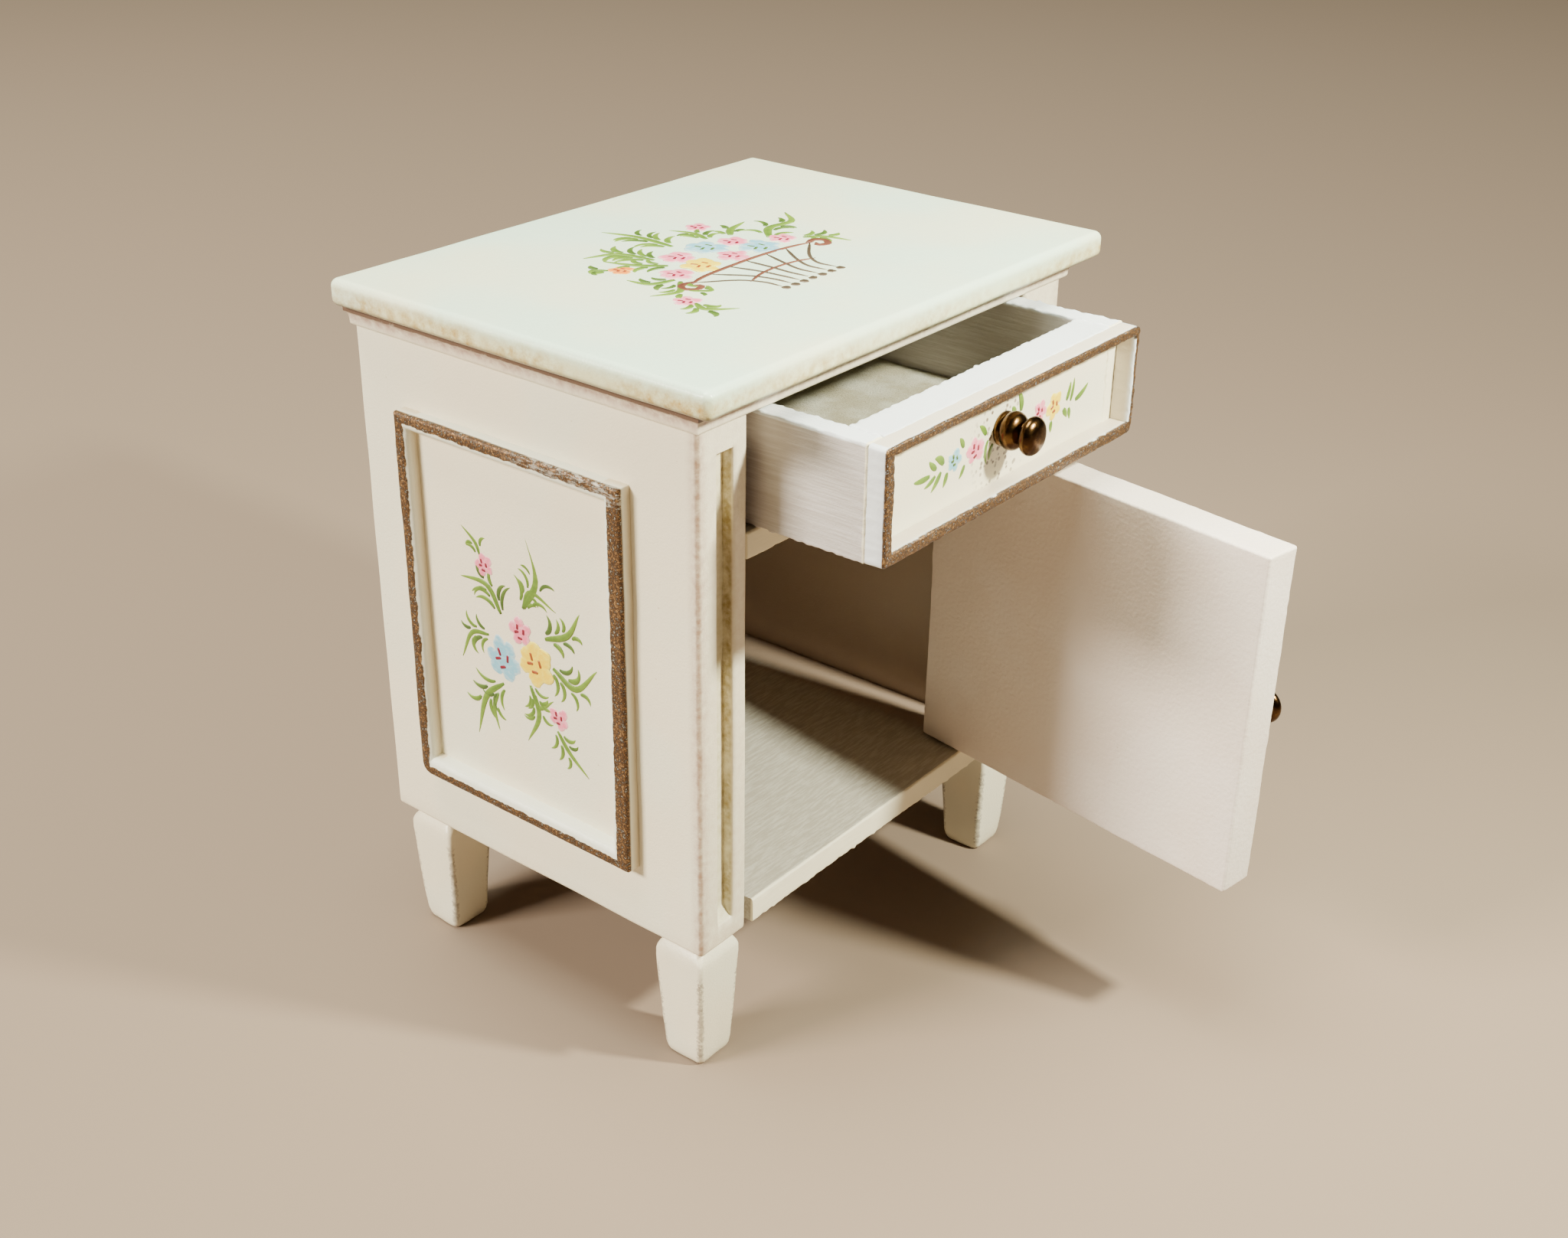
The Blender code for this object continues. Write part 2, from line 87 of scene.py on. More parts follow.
pin_low, pin_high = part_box("door_pin_lower")
door_low, door_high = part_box("door_board")
door_joint = [joint for joint in frame["joints"] if joint["name"] == "door_hinge"][0]
DOOR_OPEN = -math.radians(door_joint["range_deg"][0])
DOOR_HEIGHT = in_mm(door_high.z - door_low.z)
DOOR_HALF = 1.7  # half of the door's thickness, which its box doesn't show while it stands open

# The stopped flute in the front edge of each side board.
FLUTE_INNER, FLUTE_OUTER = 19.4, 21.2
FLUTE_LOW, FLUTE_HIGH = 14.1, 53.7
FLUTE_MIDDLE = (FLUTE_INNER + FLUTE_OUTER) / 2
FLUTE_DEPTH = 0.9

# The moulding frames, as lowest and highest value along each of their two axes.
SIDE_FRAME = (-11.2, 12.4, 17.95, 50.35)
DOOR_FRAME = (-25.9, -1.8, 4.3, 25.35)
DRAWER_FRAME = (-DRAWER_HALF, DRAWER_HALF, 0.0, DRAWER_HEIGHT)

PLACE = {
    "cabinet": Matrix.Translation((0.0, PLAN_Y, 0.0)),
    "drawer": Matrix.Translation(((strip_low.x + strip_high.x) / 2, strip_low.y, strip_low.z)),
    "door": Matrix.Translation(((pin_low.x + pin_high.x) / 2, (pin_low.y + pin_high.y) / 2, door_low.z))
    @ Matrix.Rotation(DOOR_OPEN, 4, "Z"),
}

# ---------------------------------------------------------------- camera and stage
CAMERA_TURN, CAMERA_RISE, CAMERA_ROLL = -51.67, 27.37, 0.86
CAMERA_AIM = (8.63, 0.0, 23.45)
CAMERA_DISTANCE = 175


def add_object(name, data):
    obj = bpy.data.objects.new(name, data)
    bpy.context.scene.collection.objects.link(obj)
    return obj


def make_camera():
    data = bpy.data.cameras.new("camera")
    data.sensor_width = 36.0
    data.lens = 43.96
    data.clip_start = 0.002
    data.clip_end = 20.0
    camera = add_object("camera", data)
    camera.matrix_world = (
        Matrix.Translation(Vector(CAMERA_AIM) * MM + Vector((0.0, PLAN_Y, 0.0)))
        @ Matrix.Rotation(math.radians(CAMERA_TURN), 4, "Z")
        @ Matrix.Rotation(math.radians(90 - CAMERA_RISE), 4, "X")
        @ Matrix.Rotation(math.radians(CAMERA_ROLL), 4, "Z")
        @ Matrix.Translation((0.0, 0.0, CAMERA_DISTANCE * MM))
    )
    bpy.context.scene.camera = camera


def make_light(name, toward, distance, size, power, colour, middle=(0.0, 0.0, 30.0), height=None):
    """An area light in metres and watts, seen from middle (mm) in the direction toward."""
    data = bpy.data.lights.new(name, "AREA")
    data.shape = "RECTANGLE" if height else "DISK"
    data.size = size
    if height:
        data.size_y = height
    data.energy = power
    data.color = colour
    lamp = add_object(name, data)
    aim = Vector(toward).normalized()
    lamp.location = Vector(middle) * MM + Vector((0.0, PLAN_Y, 0.0)) + aim * distance
    lamp.rotation_mode = "QUATERNION"
    lamp.rotation_quaternion = aim.to_track_quat("Z", "Y")


def make_stage():
    bm = bmesh.new()
    bmesh.ops.create_grid(bm, x_segments=2, y_segments=2, size=2.5)
    mesh = bpy.data.meshes.new("floor")
    bm.to_mesh(mesh)
    bm.free()
    floor = add_object("floor", mesh)
    pale = Look("pale_floor")
    pale.paint((0.225, 0.162, 0.117))
    pale.set(roughness=0.8)
    mesh.materials.append(pale.made)

    world = bpy.data.worlds.new("studio")
    world.use_nodes = True
    shade = world.node_tree.nodes["Background"]
    shade.inputs["Color"].default_value = (1.0, 0.80, 0.64, 1.0)
    shade.inputs["Strength"].default_value = 0.03
    bpy.context.scene.world = world

    make_light("window", (-1.0, 0.47, 0.64), 0.8, 0.25, 14.0, (1.0, 0.94, 0.80), height=0.14)
    make_light("lamp", (0.19, -0.71, 0.60), 0.12, 0.012, 0.66, (0.98, 1.0, 0.80), (0.2, -28.6, 51.7))
    make_light("ceiling", (-0.1, 0.1, 1.0), 0.9, 0.5, 16.5, (0.96, 1.0, 0.84))


# ---------------------------------------------------------------- materials
def srgb(red, green, blue):
    """A colour on the 0 to 255 scale, as linear light."""
    linear = []
    for value in (red, green, blue):
        share = value / 255
        linear.append(share / 12.92 if share <= 0.04045 else ((share + 0.055) / 1.055) ** 2.4)
    return tuple(linear)


class Value:
    """A number at each point of a surface, with the arithmetic that the masks need."""

    def __init__(self, look, socket):
        self.look, self.socket = look, socket

    def __add__(self, other):
        return self.look.math("ADD", self, other)

    def __sub__(self, other):
        return self.look.math("SUBTRACT", self, other)

    def __rsub__(self, other):
        return self.look.math("SUBTRACT", other, self)

    def __mul__(self, other):
        return self.look.math("MULTIPLY", self, other)

    def __neg__(self):
        return self * -1.0

    def __abs__(self):
        return self.look.math("ABSOLUTE", self)

    def root(self):
        return self.look.math("SQRT", self)

    def clamped(self):
        """The value kept between 0 and 1."""
        return self.look.math("ADD", self, 0.0, clamp=True)

    def near(self, at, reach):
        """1 where the value is at or below at, falling to 0 at at + reach."""
        node = self.look.node("MapRange", {
            "Value": self, "From Min": at, "From Max": at + reach, "To Min": 1.0, "To Max": 0.0,
        }, interpolation_type="SMOOTHSTEP")
        return Value(self.look, node.outputs[0])


class Look:
    """A small builder of shader nodes. Positions are in millimetres in the body's frame."""

    def __init__(self, name):
        self.made = bpy.data.materials.new(name)
        self.made.use_nodes = True
        self.tree = self.made.node_tree
        self.shader = self.tree.nodes["Principled BSDF"]
        place = self.node("TexCoord").outputs["Object"]
        scale = self.node("VectorMath", {0: place, "Scale": 1 / MM}, operation="SCALE")
        self.spot = scale.outputs[0]
        self.x, self.y, self.z = (
            Value(self, socket) for socket in self.node("SeparateXYZ", {0: self.spot}).outputs
        )

    def node(self, kind, inputs=None, **settings):
        """A shader node with its settings made and its inputs joined or set."""
        node = self.tree.nodes.new("ShaderNode" + kind)
        for name, value in settings.items():
            setattr(node, name, value)
        for name, source in (inputs or {}).items():
            self.link(source, node.inputs[name])
        return node

    def link(self, source, target):
        """Joins a value or socket to the target, or sets a constant on it."""
        if isinstance(source, Value):
            source = source.socket
        if isinstance(source, bpy.types.NodeSocket):
            self.tree.links.new(source, target)
        else:
            if isinstance(source, tuple) and target.type == "RGBA":
                source = (*source, 1.0)
            target.default_value = source

    def set(self, roughness=None, metallic=None, coat=None, coat_roughness=None):
        for name, value in (
            ("Roughness", roughness), ("Metallic", metallic), ("Coat Weight", coat),
            ("Coat Roughness", coat_roughness),
        ):
            if value is not None:
                self.link(value, self.shader.inputs[name])

    def paint(self, colour):
        self.link(colour, self.shader.inputs["Base Color"])

    def math(self, operation, first, second=0.0, clamp=False):
        node = self.node("Math", {0: first, 1: second}, operation=operation, use_clamp=clamp)
        return Value(self, node.outputs[0])

    def most(self, first, *others):
        for other in others:
            first = self.math("MAXIMUM", first, other)
        return first

    def least(self, first, second):
        return self.math("MINIMUM", first, second)

    def noise(self, scale, detail=2.0, rough=0.5, stretch=(1.0, 1.0, 1.0), shift=0.0):
        place = self.node("Mapping", {
            "Scale": stretch, "Location": (shift, shift * 0.7, shift * 1.3), "Vector": self.spot,
        })
        node = self.node("TexNoise", {
            "Scale": scale, "Detail": detail, "Roughness": rough, "Vector": place.outputs[0],
        })
        return Value(self, node.outputs["Fac"])

    def dots(self, scale, size, share, shift=0.0):
        """Sparse round specks: 1 on a speck, 0 elsewhere."""
        place = self.node("Mapping", {"Location": (shift, shift, shift), "Vector": self.spot})
        cell = self.node("TexVoronoi", {"Scale": scale, "Vector": place.outputs[0]})
        chosen = self.node("SeparateColor", {0: cell.outputs["Color"]})
        picked = self.math("GREATER_THAN", Value(self, chosen.outputs[0]), 1.0 - share)
        half = size * scale * 0.5
        return Value(self, cell.outputs["Distance"]).near(half, half) * picked

    def mix(self, share, first, second):
        return self.node("Mix", {0: share, 6: first, 7: second}, data_type="RGBA").outputs[2]

    def speckled(self, colour, strength, scale, size, share, shift):
        """The colour with a few specks of wax."""
        return self.mix(self.dots(scale, size, share, shift) * strength, colour, WAX)

    def bump(self, height, depth):
        """Relief of the given depth in millimetres."""
        node = self.node("Bump", {"Strength": 1.0, "Distance": depth * MM, "Height": height})
        self.link(node.outputs[0], self.shader.inputs["Normal"])


CREAM = srgb(240, 231, 204)
CREAM_COOL = srgb(237, 231, 207)
CREAM_WARM = srgb(241, 229, 203)
TOP_IVORY = srgb(216, 240, 218)
TOP_WARM = srgb(234, 238, 208)
TOP_EDGE = srgb(230, 216, 154)
WAX = srgb(142, 98, 58)
WAX_DARK = srgb(84, 54, 40)
WAX_AND_SHADOW_BROWN = srgb(100, 76, 62)
WAX_OCHRE = srgb(176, 138, 60)
OLIVE_WAX_AND_SHADE = srgb(146, 124, 72)
STILE_SHADE_TINT = srgb(222, 208, 184)
LILAC = srgb(176, 146, 132)
WAX_TAN = srgb(200, 188, 148)
INSIDE_GREY_AND_SHADE = srgb(172, 152, 134)
BRUSHED = srgb(228, 232, 237)
GOLD = srgb(124, 90, 58)
GOLD_DARK = srgb(52, 35, 24)
GOLD_PALE = srgb(176, 140, 94)
GOLD_RUBBED_AND_HIGHLIT = srgb(206, 202, 192)
FRAME_CREAM = srgb(230, 230, 214)
FRAME_HOLLOW_WAX_AND_SHADE = srgb(208, 182, 138)


def carcass_gap(look):
    """Distance from the front vertical edges of the carcass."""
    return look.most(SIDE_OUTER - abs(look.x), look.y + HALF_DEPTH)


def carcass_edges(look):
    """The wax along the front vertical edges of the carcass."""
    return carcass_gap(look).near(0.15, 1.1)


def carcass_arris(look):
    """The brown line left right on those edges."""
    ragged = look.noise(1.2, 3.0, 0.6) * 0.4 - 0.2
    return (carcass_gap(look) + ragged).near(0.12, 0.26)


def inside_grey_and_shade(look):
    """The thinner, greyer paint on the faces that look into the cabinet, darkened further as painted shade
    for the dim inside.
    """
    return abs(look.x).near(SIDE_INNER + 0.1, 0.1) * (-look.y).near(HALF_DEPTH - 0.6, 0.3)


def foot_corners(look):
    """Brown specks along the worn corners of the feet."""
    half = look.z * 0.054 + 1.93
    out_x = abs(abs(look.x) - FOOT_X)
    out_y = abs(abs(look.y) - FOOT_Y)
    ragged = look.noise(3.4, 3.0, 0.7) - 0.5
    line = (half * 2.0 - (out_x + out_y) + ragged).near(0.24, 0.2)
    return line * abs(look.z - 5.0).near(3.8, 0.8)


def brushed_top(look):
    """The cooler, thickly brushed paint on the top edges of the drawer."""
    return (DRAWER_HEIGHT - look.z).near(0.18, 0.12)


def near_knob(look):
    """Specks of wax round the drawer's knob."""
    up = look.z - 4.2
    away = (look.x * look.x + up * up).root()
    return look.dots(1.9, 0.22, 0.8, 2.0) * away.near(2.2, 2.8)


def carcass_foot(look):
    """A little wax along the lower edge of the carcass."""
    return look.z.near(SIDE_FOOT + 0.05, 1.6) * 0.5


def under_top_wax_and_shade(look):
    """Wax and painted shade in the corner under the top board, where the top's overhang shades it."""
    return (TOP_UNDER - look.z).near(0.38, 0.36)


def cornice_shade(look):
    """Painted shade over the whole of the moulding under the top, which lies in the shadow of the top's
    overhang.
    """
    return (TOP_UNDER - look.z).near(0.9, 1.1)


def flute_inside(look):
    """The tan wax left in the two flutes."""
    inside = abs(abs(look.x) - FLUTE_MIDDLE).near(FLUTE_DEPTH, 0.06)
    deep = (-(look.y + HALF_DEPTH)).near(-0.3, 0.25)
    tall = abs(look.z - (FLUTE_LOW + FLUTE_HIGH) / 2).near((FLUTE_HIGH - FLUTE_LOW) / 2 - 0.1, 0.4)
    front = look.y.near(-16.45, 0.1)
    return inside * deep * (tall * front)


def flute_corner_wax_and_shade(look):
    """The dark olive line in each flute's inner corner: wax, and painted shade in that deep corner."""
    ragged = look.noise(0.5, 2.0, 0.5) * 0.8 - 0.35
    return (abs(look.x) - FLUTE_INNER + ragged).near(0.08, 0.26) * flute_inside(look)


def stile_face_shade(look):
    """Painted shade: a thin brown tint that dims the front faces of the side boards."""
    return (look.y + HALF_DEPTH).near(0.1, 0.2)


def cream_paint(name, wax=(), warm=0.5):
    """Satin cream paint. wax lists a function that returns a mask, its colour and its strength; some of these
    marks are painted shade rather than wax.
    """
    look = Look(name)
    colour = look.mix(look.noise(0.09).near(0.42, 0.2), CREAM_COOL, look.mix(warm, CREAM, CREAM_WARM))
    haze = look.noise(1.6, 4.0, 0.6, shift=7.0)
    for mask_of, tint, strength in wax:
        broken = mask_of(look) * (haze * 1.5 - 0.22).clamped()
        colour = look.mix((broken * strength).clamped(), colour, tint)
    look.paint(look.speckled(colour, 0.45, 0.55, 0.075, 0.22, 3.0))
    look.set(roughness=0.36, coat=0.12, coat_roughness=0.25)
    look.bump(look.noise(1.3, 3.0, 0.55) * 0.8 + look.noise(6.0), 0.022)
    return look


def top_paint():
    """Cool ivory on the top board, with ochre wax rubbed into its rounded front and side edges."""
    look = Look("top_paint")
    colour = look.mix(look.noise(0.06).near(0.36, 0.3), TOP_IVORY, TOP_WARM)
    gap = look.least(TOP_HALF - abs(look.x), look.y + 20.75)
    edge = gap.near(0.2, 1.2) * look.z.near(58.5, 1.4)
    worn = edge * (look.noise(1.1, 5.0, 0.65, shift=4.0) * 3.2 - 1.1).clamped()
    worn = worn * (look.noise(0.12, 1.0, shift=2.0) * 2.6 - 0.5).clamped()
    colour = look.mix(edge * look.y.near(9.0, 8.0) * 0.62, colour, TOP_EDGE)
    colour = look.mix(worn * 0.9, colour, WAX_OCHRE)
    # Wax and painted shade: a dark line along the lower edge of the top, where its overhang is shaded.
    colour = look.mix(look.z.near(TOP_UNDER + 0.1, 0.4) * 0.8, colour, WAX_DARK)
    look.paint(look.speckled(colour, 0.3, 0.45, 0.07, 0.15, 8.0))
    look.set(roughness=0.34, coat=0.15, coat_roughness=0.2)
    look.bump(look.noise(1.0, 3.0) * 0.8 + look.noise(5.0), 0.02)
    return look


def thin_white_paint():
    """Streaky white paint on the drawer's sides, with cream on their front ends."""
    look = Look("thin_white_paint")
    streak = look.noise(1.0, 4.0, 0.65, stretch=(5.0, 0.22, 5.0))
    colour = look.mix(streak.near(0.38, 0.25), srgb(200, 193, 190), srgb(186, 177, 173))
    colour = look.mix(brushed_top(look), colour, BRUSHED)
    colour = look.mix(look.y.near(1.8, 0.1), colour, CREAM)
    look.paint(look.speckled(colour, 0.35, 0.7, 0.09, 0.2, 5.0))
    look.set(roughness=0.55)
    look.bump(look.noise(4.5, 3.0, 0.6) * 0.55 + streak, 0.05)
    return look


def bare_wood():
    """Gritty, stained wood inside the drawer."""
    look = Look("bare_wood")
    grit = look.noise(5.0, 4.0, 0.7)
    stain = look.noise(0.25, 3.0, 0.6)
    colour = look.mix(stain.near(0.4, 0.25), srgb(192, 189, 172), srgb(168, 160, 136))
    look.paint(look.mix(grit.near(0.3, 0.16) * 0.5, colour, srgb(120, 108, 84)))
    look.set(roughness=0.8)
    look.bump(grit, 0.09)
    return look


def cupboard_wood():
    """Thin paint inside the cupboard, with painted shade towards its back and its right side."""
    look = Look("cupboard_wood")
    grit = look.noise(3.5, 4.0, 0.7)
    brush = look.noise(1.0, 3.0, 0.6, stretch=(0.5, 4.0, 4.0))
    colour = look.mix(brush.near(0.4, 0.25), srgb(192, 187, 174), srgb(172, 164, 150))
    colour = look.mix(grit.near(0.34, 0.14) * 0.18, colour, srgb(132, 118, 104))
    # Painted shade: darker towards the back and the right side, where the cupboard lies in shadow.
    deep = look.most((-look.y).near(-14.0, 10.0), (-look.x).near(-15.0, 3.0))
    colour = look.mix(deep, colour, srgb(150, 128, 110))
    look.paint(look.mix(look.y.near(0.25 - HALF_DEPTH, 0.1), colour, CREAM))
    look.set(roughness=0.7)
    look.bump(grit * 0.15 + brush, 0.03)
    return look


def door_paint():
    """Warm white on the door, brushed lengthwise on its free edge."""
    look = Look("door_paint")
    colour = look.mix(look.noise(0.12).near(0.42, 0.2), srgb(237, 224, 214), srgb(234, 219, 207))
    end = (look.x + 30.9).near(0.02, 0.1)
    scratch = look.noise(1.0, 3.0, 0.6, stretch=(4.0, 4.0, 0.35))
    colour = look.mix(end * scratch.near(0.36, 0.16), colour, srgb(214, 202, 194))
    look.paint(look.speckled(colour, 0.3, 0.6, 0.08, 0.15, 9.0))
    look.set(roughness=0.42)
    look.bump(look.noise(3.2, 2.0, 0.45) * 0.9 + scratch * end * 1.8, 0.045)
    return look


def gilt(name, plane, rect, widths, flat=False, worn=False):
    """Cream paint with a hand-painted bronze-gold line inside a rectangle's outline."""
    look = Look(name)
    axes = {"x": look.x, "y": look.y, "z": look.z}
    uneven = look.noise(0.9, 4.0, 0.6) * 0.5 - 0.25
    gaps = []
    for index, border in enumerate(rect):
        value = axes[plane[index // 2]]
        gaps.append(border - value if index % 2 else value - border)
    line = look.most(*[(gap + uneven).near(width, 0.07) for gap, width in zip(gaps, widths)])
    if flat:
        proud = look.y.near(0.12, 0.15)
        hollow_wax_and_shade = (-look.y).near(-0.5, 0.5) * abs(look.x).near(DRAWER_HALF - 0.5, 0.1)
    else:
        rise = abs(look.x) - SIDE_OUTER if plane == "yz" else -look.y - DOOR_HALF
        proud = (-rise).near(-0.98, 0.22)
        hollow_wax_and_shade = rise.near(0.2, 0.8) * look.least(gaps[0], gaps[1]).near(1.9, 0.1)
    flake = look.noise(4.2, 5.0, 0.8)
    line = line * proud * (1.0 - flake.near(0.36, 0.07) * 0.5)
    gold = look.mix(flake.near(0.42, 0.2), GOLD, GOLD_DARK)
    gold = look.mix(1.0 - flake.near(0.56, 0.08), gold, GOLD_PALE)
    # Tan in the inner cove beside the panel: wax, with painted shade in that hollow.
    cream = look.mix(hollow_wax_and_shade * 0.6, BRUSHED if flat else FRAME_CREAM, FRAME_HOLLOW_WAX_AND_SHADE)
    if worn:
        # Pale rubbed gold on the top strip: partly worn gilding and partly a painted highlight where that
        # upward face catches the light.
        rubbed = gaps[3].near(1.5, 0.1) * look.y.near(-3.0, 4.0)
        rubbed = rubbed * look.noise(1.6, 5.0, 0.8, stretch=(1.0, 0.5, 2.0)).near(0.42, 0.1)
        gold = look.mix(rubbed * 0.6, gold, GOLD_RUBBED_AND_HIGHLIT)
    look.paint(look.mix(line, cream, gold))
    look.set(roughness=line * 0.06 + 0.38, metallic=line * 0.5)
    look.bump(flake * line * 0.9 + look.noise(2.0, 3.0, 0.55), 0.035)
    return look


def antique_brass():
    look = Look("antique_brass")
    wear = look.noise(0.9, 4.0, 0.6)
    look.paint(look.mix(wear.near(0.42, 0.22), srgb(108, 80, 46), srgb(66, 45, 27)))
    look.set(roughness=0.24, metallic=1.0)
    look.bump(look.noise(3.0, 3.0), 0.012)
    return look


def pin_steel():
    look = Look("pin_steel")
    look.paint(look.mix(look.noise(2.0), srgb(150, 146, 140), srgb(190, 188, 184)))
    look.set(roughness=0.35, metallic=1.0)
    return look


def brush_stroke(name, deep, pale):
    """The paint of the sprays: thin where the tone on the stroke's points is low."""
    look = Look("stroke_" + name)
    tone = look.node("Attribute", attribute_name="tone")
    reach = 2.2 if name in ("pink", "blue", "yellow", "orange") else 0.6
    uneven = look.noise(1.9, 3.0, 0.6, stretch=(1.0, 1.0, 1.6)) * reach - 0.5 * reach
    look.paint(look.mix((uneven + Value(look, tone.outputs["Fac"])).clamped(), pale, deep))
    look.set(roughness=0.4, coat=0.1, coat_roughness=0.25)
    look.bump(look.noise(4.0), 0.015)
    return look


def make_looks():
    looks = {
        "carcass": cream_paint("cream_paint", [
            # Among these, painted shade: the dimmer front faces of the side boards, the dark line in each
            # flute's corner and the darker faces inside the cabinet.
            (stile_face_shade, STILE_SHADE_TINT, 1.2), (carcass_edges, LILAC, 0.9), (carcass_arris, WAX, 0.8),
            (carcass_foot, WAX, 0.35), (flute_inside, WAX_TAN, 0.95), (flute_corner_wax_and_shade, OLIVE_WAX_AND_SHADE, 1.2),
            (inside_grey_and_shade, INSIDE_GREY_AND_SHADE, 8.0),
        ]),
        # The cornice's marks are painted shade: a lilac tint over the whole moulding and a darker line,
        # partly wax, right under the top.
        "cornice": cream_paint("cornice_paint", [(cornice_shade, LILAC, 1.3), (under_top_wax_and_shade, WAX_AND_SHADOW_BROWN, 3.5)]),
        "top": top_paint(),
        "foot": cream_paint("foot_paint", [(foot_corners, WAX_DARK, 0.85)], warm=0.35),
        "drawer_face": cream_paint(
            "drawer_face_paint", [(near_knob, WAX_DARK, 1.6), (brushed_top, BRUSHED, 8.0)],
        ),
        "wood": thin_white_paint(),
        "tray": bare_wood(),
        "inside": cupboard_wood(),
        "door": door_paint(),
        "side_frame": gilt("side_frame_paint", "yz", SIDE_FRAME, (1.15, 0.98, 0.86, 0.78), worn=True),
        "door_frame": gilt("door_frame_paint", "xz", DOOR_FRAME, (0.72, 0.72, 0.72, 0.72)),
        "drawer_frame": gilt("drawer_frame_paint", "xz", DRAWER_FRAME, (0.95, 0.42, 0.95, 0.9), flat=True),
        "brass": antique_brass(),
        "pin": pin_steel(),
    }
    for name, deep, pale in (
        ("leaf", srgb(82, 114, 34), srgb(142, 172, 58)),
        ("leaf_dark", srgb(58, 84, 32), srgb(112, 142, 52)),
        ("pink", srgb(238, 122, 150), srgb(244, 196, 202)),
        ("blue", srgb(126, 184, 206), srgb(198, 216, 220)),
        ("yellow", srgb(244, 206, 0), srgb(248, 234, 96)),
        ("orange", srgb(235, 130, 40), srgb(242, 186, 110)),
        ("red", srgb(108, 8, 34), srgb(150, 30, 60)),
        ("rust", srgb(140, 60, 20), srgb(164, 92, 44)),
        ("brown", srgb(92, 50, 38), srgb(140, 88, 70)),
        ("umber", srgb(70, 58, 46), srgb(110, 92, 74)),
    ):
        looks[name] = brush_stroke(name, deep, pale)
    return looks


# ---------------------------------------------------------------- mesh helpers
def add_piece(name, bm, body, look, cad=(), sharp=None):
    """Turns a mesh in the body's local millimetres into a piece that rides on that body."""
    for vert in bm.verts:
        vert.co *= MM
    bmesh.ops.recalc_face_normals(bm, faces=bm.faces[:])
    mesh = bpy.data.meshes.new(name)
    bm.to_mesh(mesh)
    bm.free()
    mesh.shade_smooth()
    if sharp is not None:
        mesh.set_sharp_from_angle(angle=math.radians(sharp))
    mesh.materials.append(LOOKS[look].made)
    obj = add_object(name, mesh)
    obj.matrix_world = PLACE[body]
    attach(obj, body)
    if cad:
        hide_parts(*cad)
    return obj


def add_wooden(name, bm, body, look, cad, sharp=55):
    """A piece whose wide faces stay flat in the light, whatever its rounded edges do."""
    obj = add_piece(name, bm, body, look, cad, sharp)
    even = obj.modifiers.new("even_normals", "WEIGHTED_NORMAL")
    even.keep_sharp = True


def grid_lines(low, high, radius, step, extra=()):
    """Positions of the grid lines along one side of a board, closer together where it is rounded."""
    bends = [0.0] + [radius * (1 - math.tan(math.radians(angle))) for angle in (30, 15)] + [radius]
    inner = high - low - 2 * radius
    count = max(1, round(inner / step))
    lines = [low + bend for bend in bends] + [high - bend for bend in reversed(bends)]
    lines += [low + radius + inner * i / count for i in range(1, count)]
    lines = [line for line in lines if all(abs(line - other) > 0.02 for other in extra)] + list(extra)
    lines.sort()
    kept = [lines[0]]
    for line in lines[1:]:
        if line - kept[-1] > 0.012:
            kept.append(line)
    return kept


def board(low, high, radius, step, wobble=0.04, ragged=0.0, seed=0.0, extra=((), (), ()), shape=None,
          ragged_where=None):
    """A hand-made board: rounded edges, slightly uneven faces, and edges ragged with paint."""
    lines = [grid_lines(a, b, radius, step, more) for a, b, more in zip(low, high, extra)]
    counts = [len(line) - 1 for line in lines]
    bm = bmesh.new()
    made = {}

    def vertex(i, j, k):
        key = (i, j, k)
        if key in made:
            return made[key]
        flat = Vector((lines[0][i], lines[1][j], lines[2][k]))
        core = Vector([min(max(flat[n], low[n] + radius), high[n] - radius) for n in range(3)])
        out = (flat - core).normalized()
        point = core + out * radius
        gaps = sorted(min(flat[n] - low[n], high[n] - flat[n]) for n in range(3))
        lift = wobble * noise.noise(point * 0.16 + Vector((seed, seed, 0.0)))
        if ragged > 0.0 and (ragged_where is None or ragged_where(point)):
            rim = math.exp(-((gaps[1] / 0.28) ** 2))
            fine = noise.noise(point * 2.3 + Vector((seed, 3.1, seed)))
            burr = max(0.0, noise.noise(point * 1.1 + Vector((9.0, seed, 2.0))) - 0.12) * 1.6
            lift += ragged * rim * (fine * 0.7 + burr * (0.5 + fine))
        point = point + out * lift
        if shape is not None:
            point = shape(point, flat)
        made[key] = bm.verts.new(point)
        return made[key]

    for axis in range(3):
        one, two = [n for n in range(3) if n != axis]
        for end in (0, counts[axis]):
            for i in range(counts[one]):
                for j in range(counts[two]):
                    loop = []
                    for step_i, step_j in ((0, 0), (1, 0), (1, 1), (0, 1)):
                        key = [0, 0, 0]
                        key[axis], key[one], key[two] = end, i + step_i, j + step_j
                        loop.append(vertex(*key))
                    bm.faces.new(loop)
    return bm


def outline(low_a, high_a, low_b, high_b, radii, step=None, arc=3):
    """Points round a rectangle with a radius at each corner. Without a step, each side is halved."""
    spans = (high_b - low_b, high_a - low_a)
    arcs = []
    for quarter, (a, b, in_a, in_b) in enumerate((
        (high_a, high_b, -1, -1), (low_a, high_b, 1, -1), (low_a, low_b, 1, 1), (high_a, low_b, -1, 1),
    )):
        radius = radii[quarter]
        angles = [math.pi * 0.5 * (quarter + n / arc) for n in range(arc + 1)]
        arcs.append([
            (a + in_a * radius + radius * math.cos(angle), b + in_b * radius + radius * math.sin(angle))
            for angle in angles
        ])
    points = []
    for index, bend in enumerate(arcs):
        points += bend
        here, goal = bend[-1], arcs[(index + 1) % 4][0]
        count = max(2, round(spans[(index + 1) % 2] / step)) if step else 2
        for n in range(1, count):
            points.append(tuple(start + (end - start) * (n / count) for start, end in zip(here, goal)))
    return points


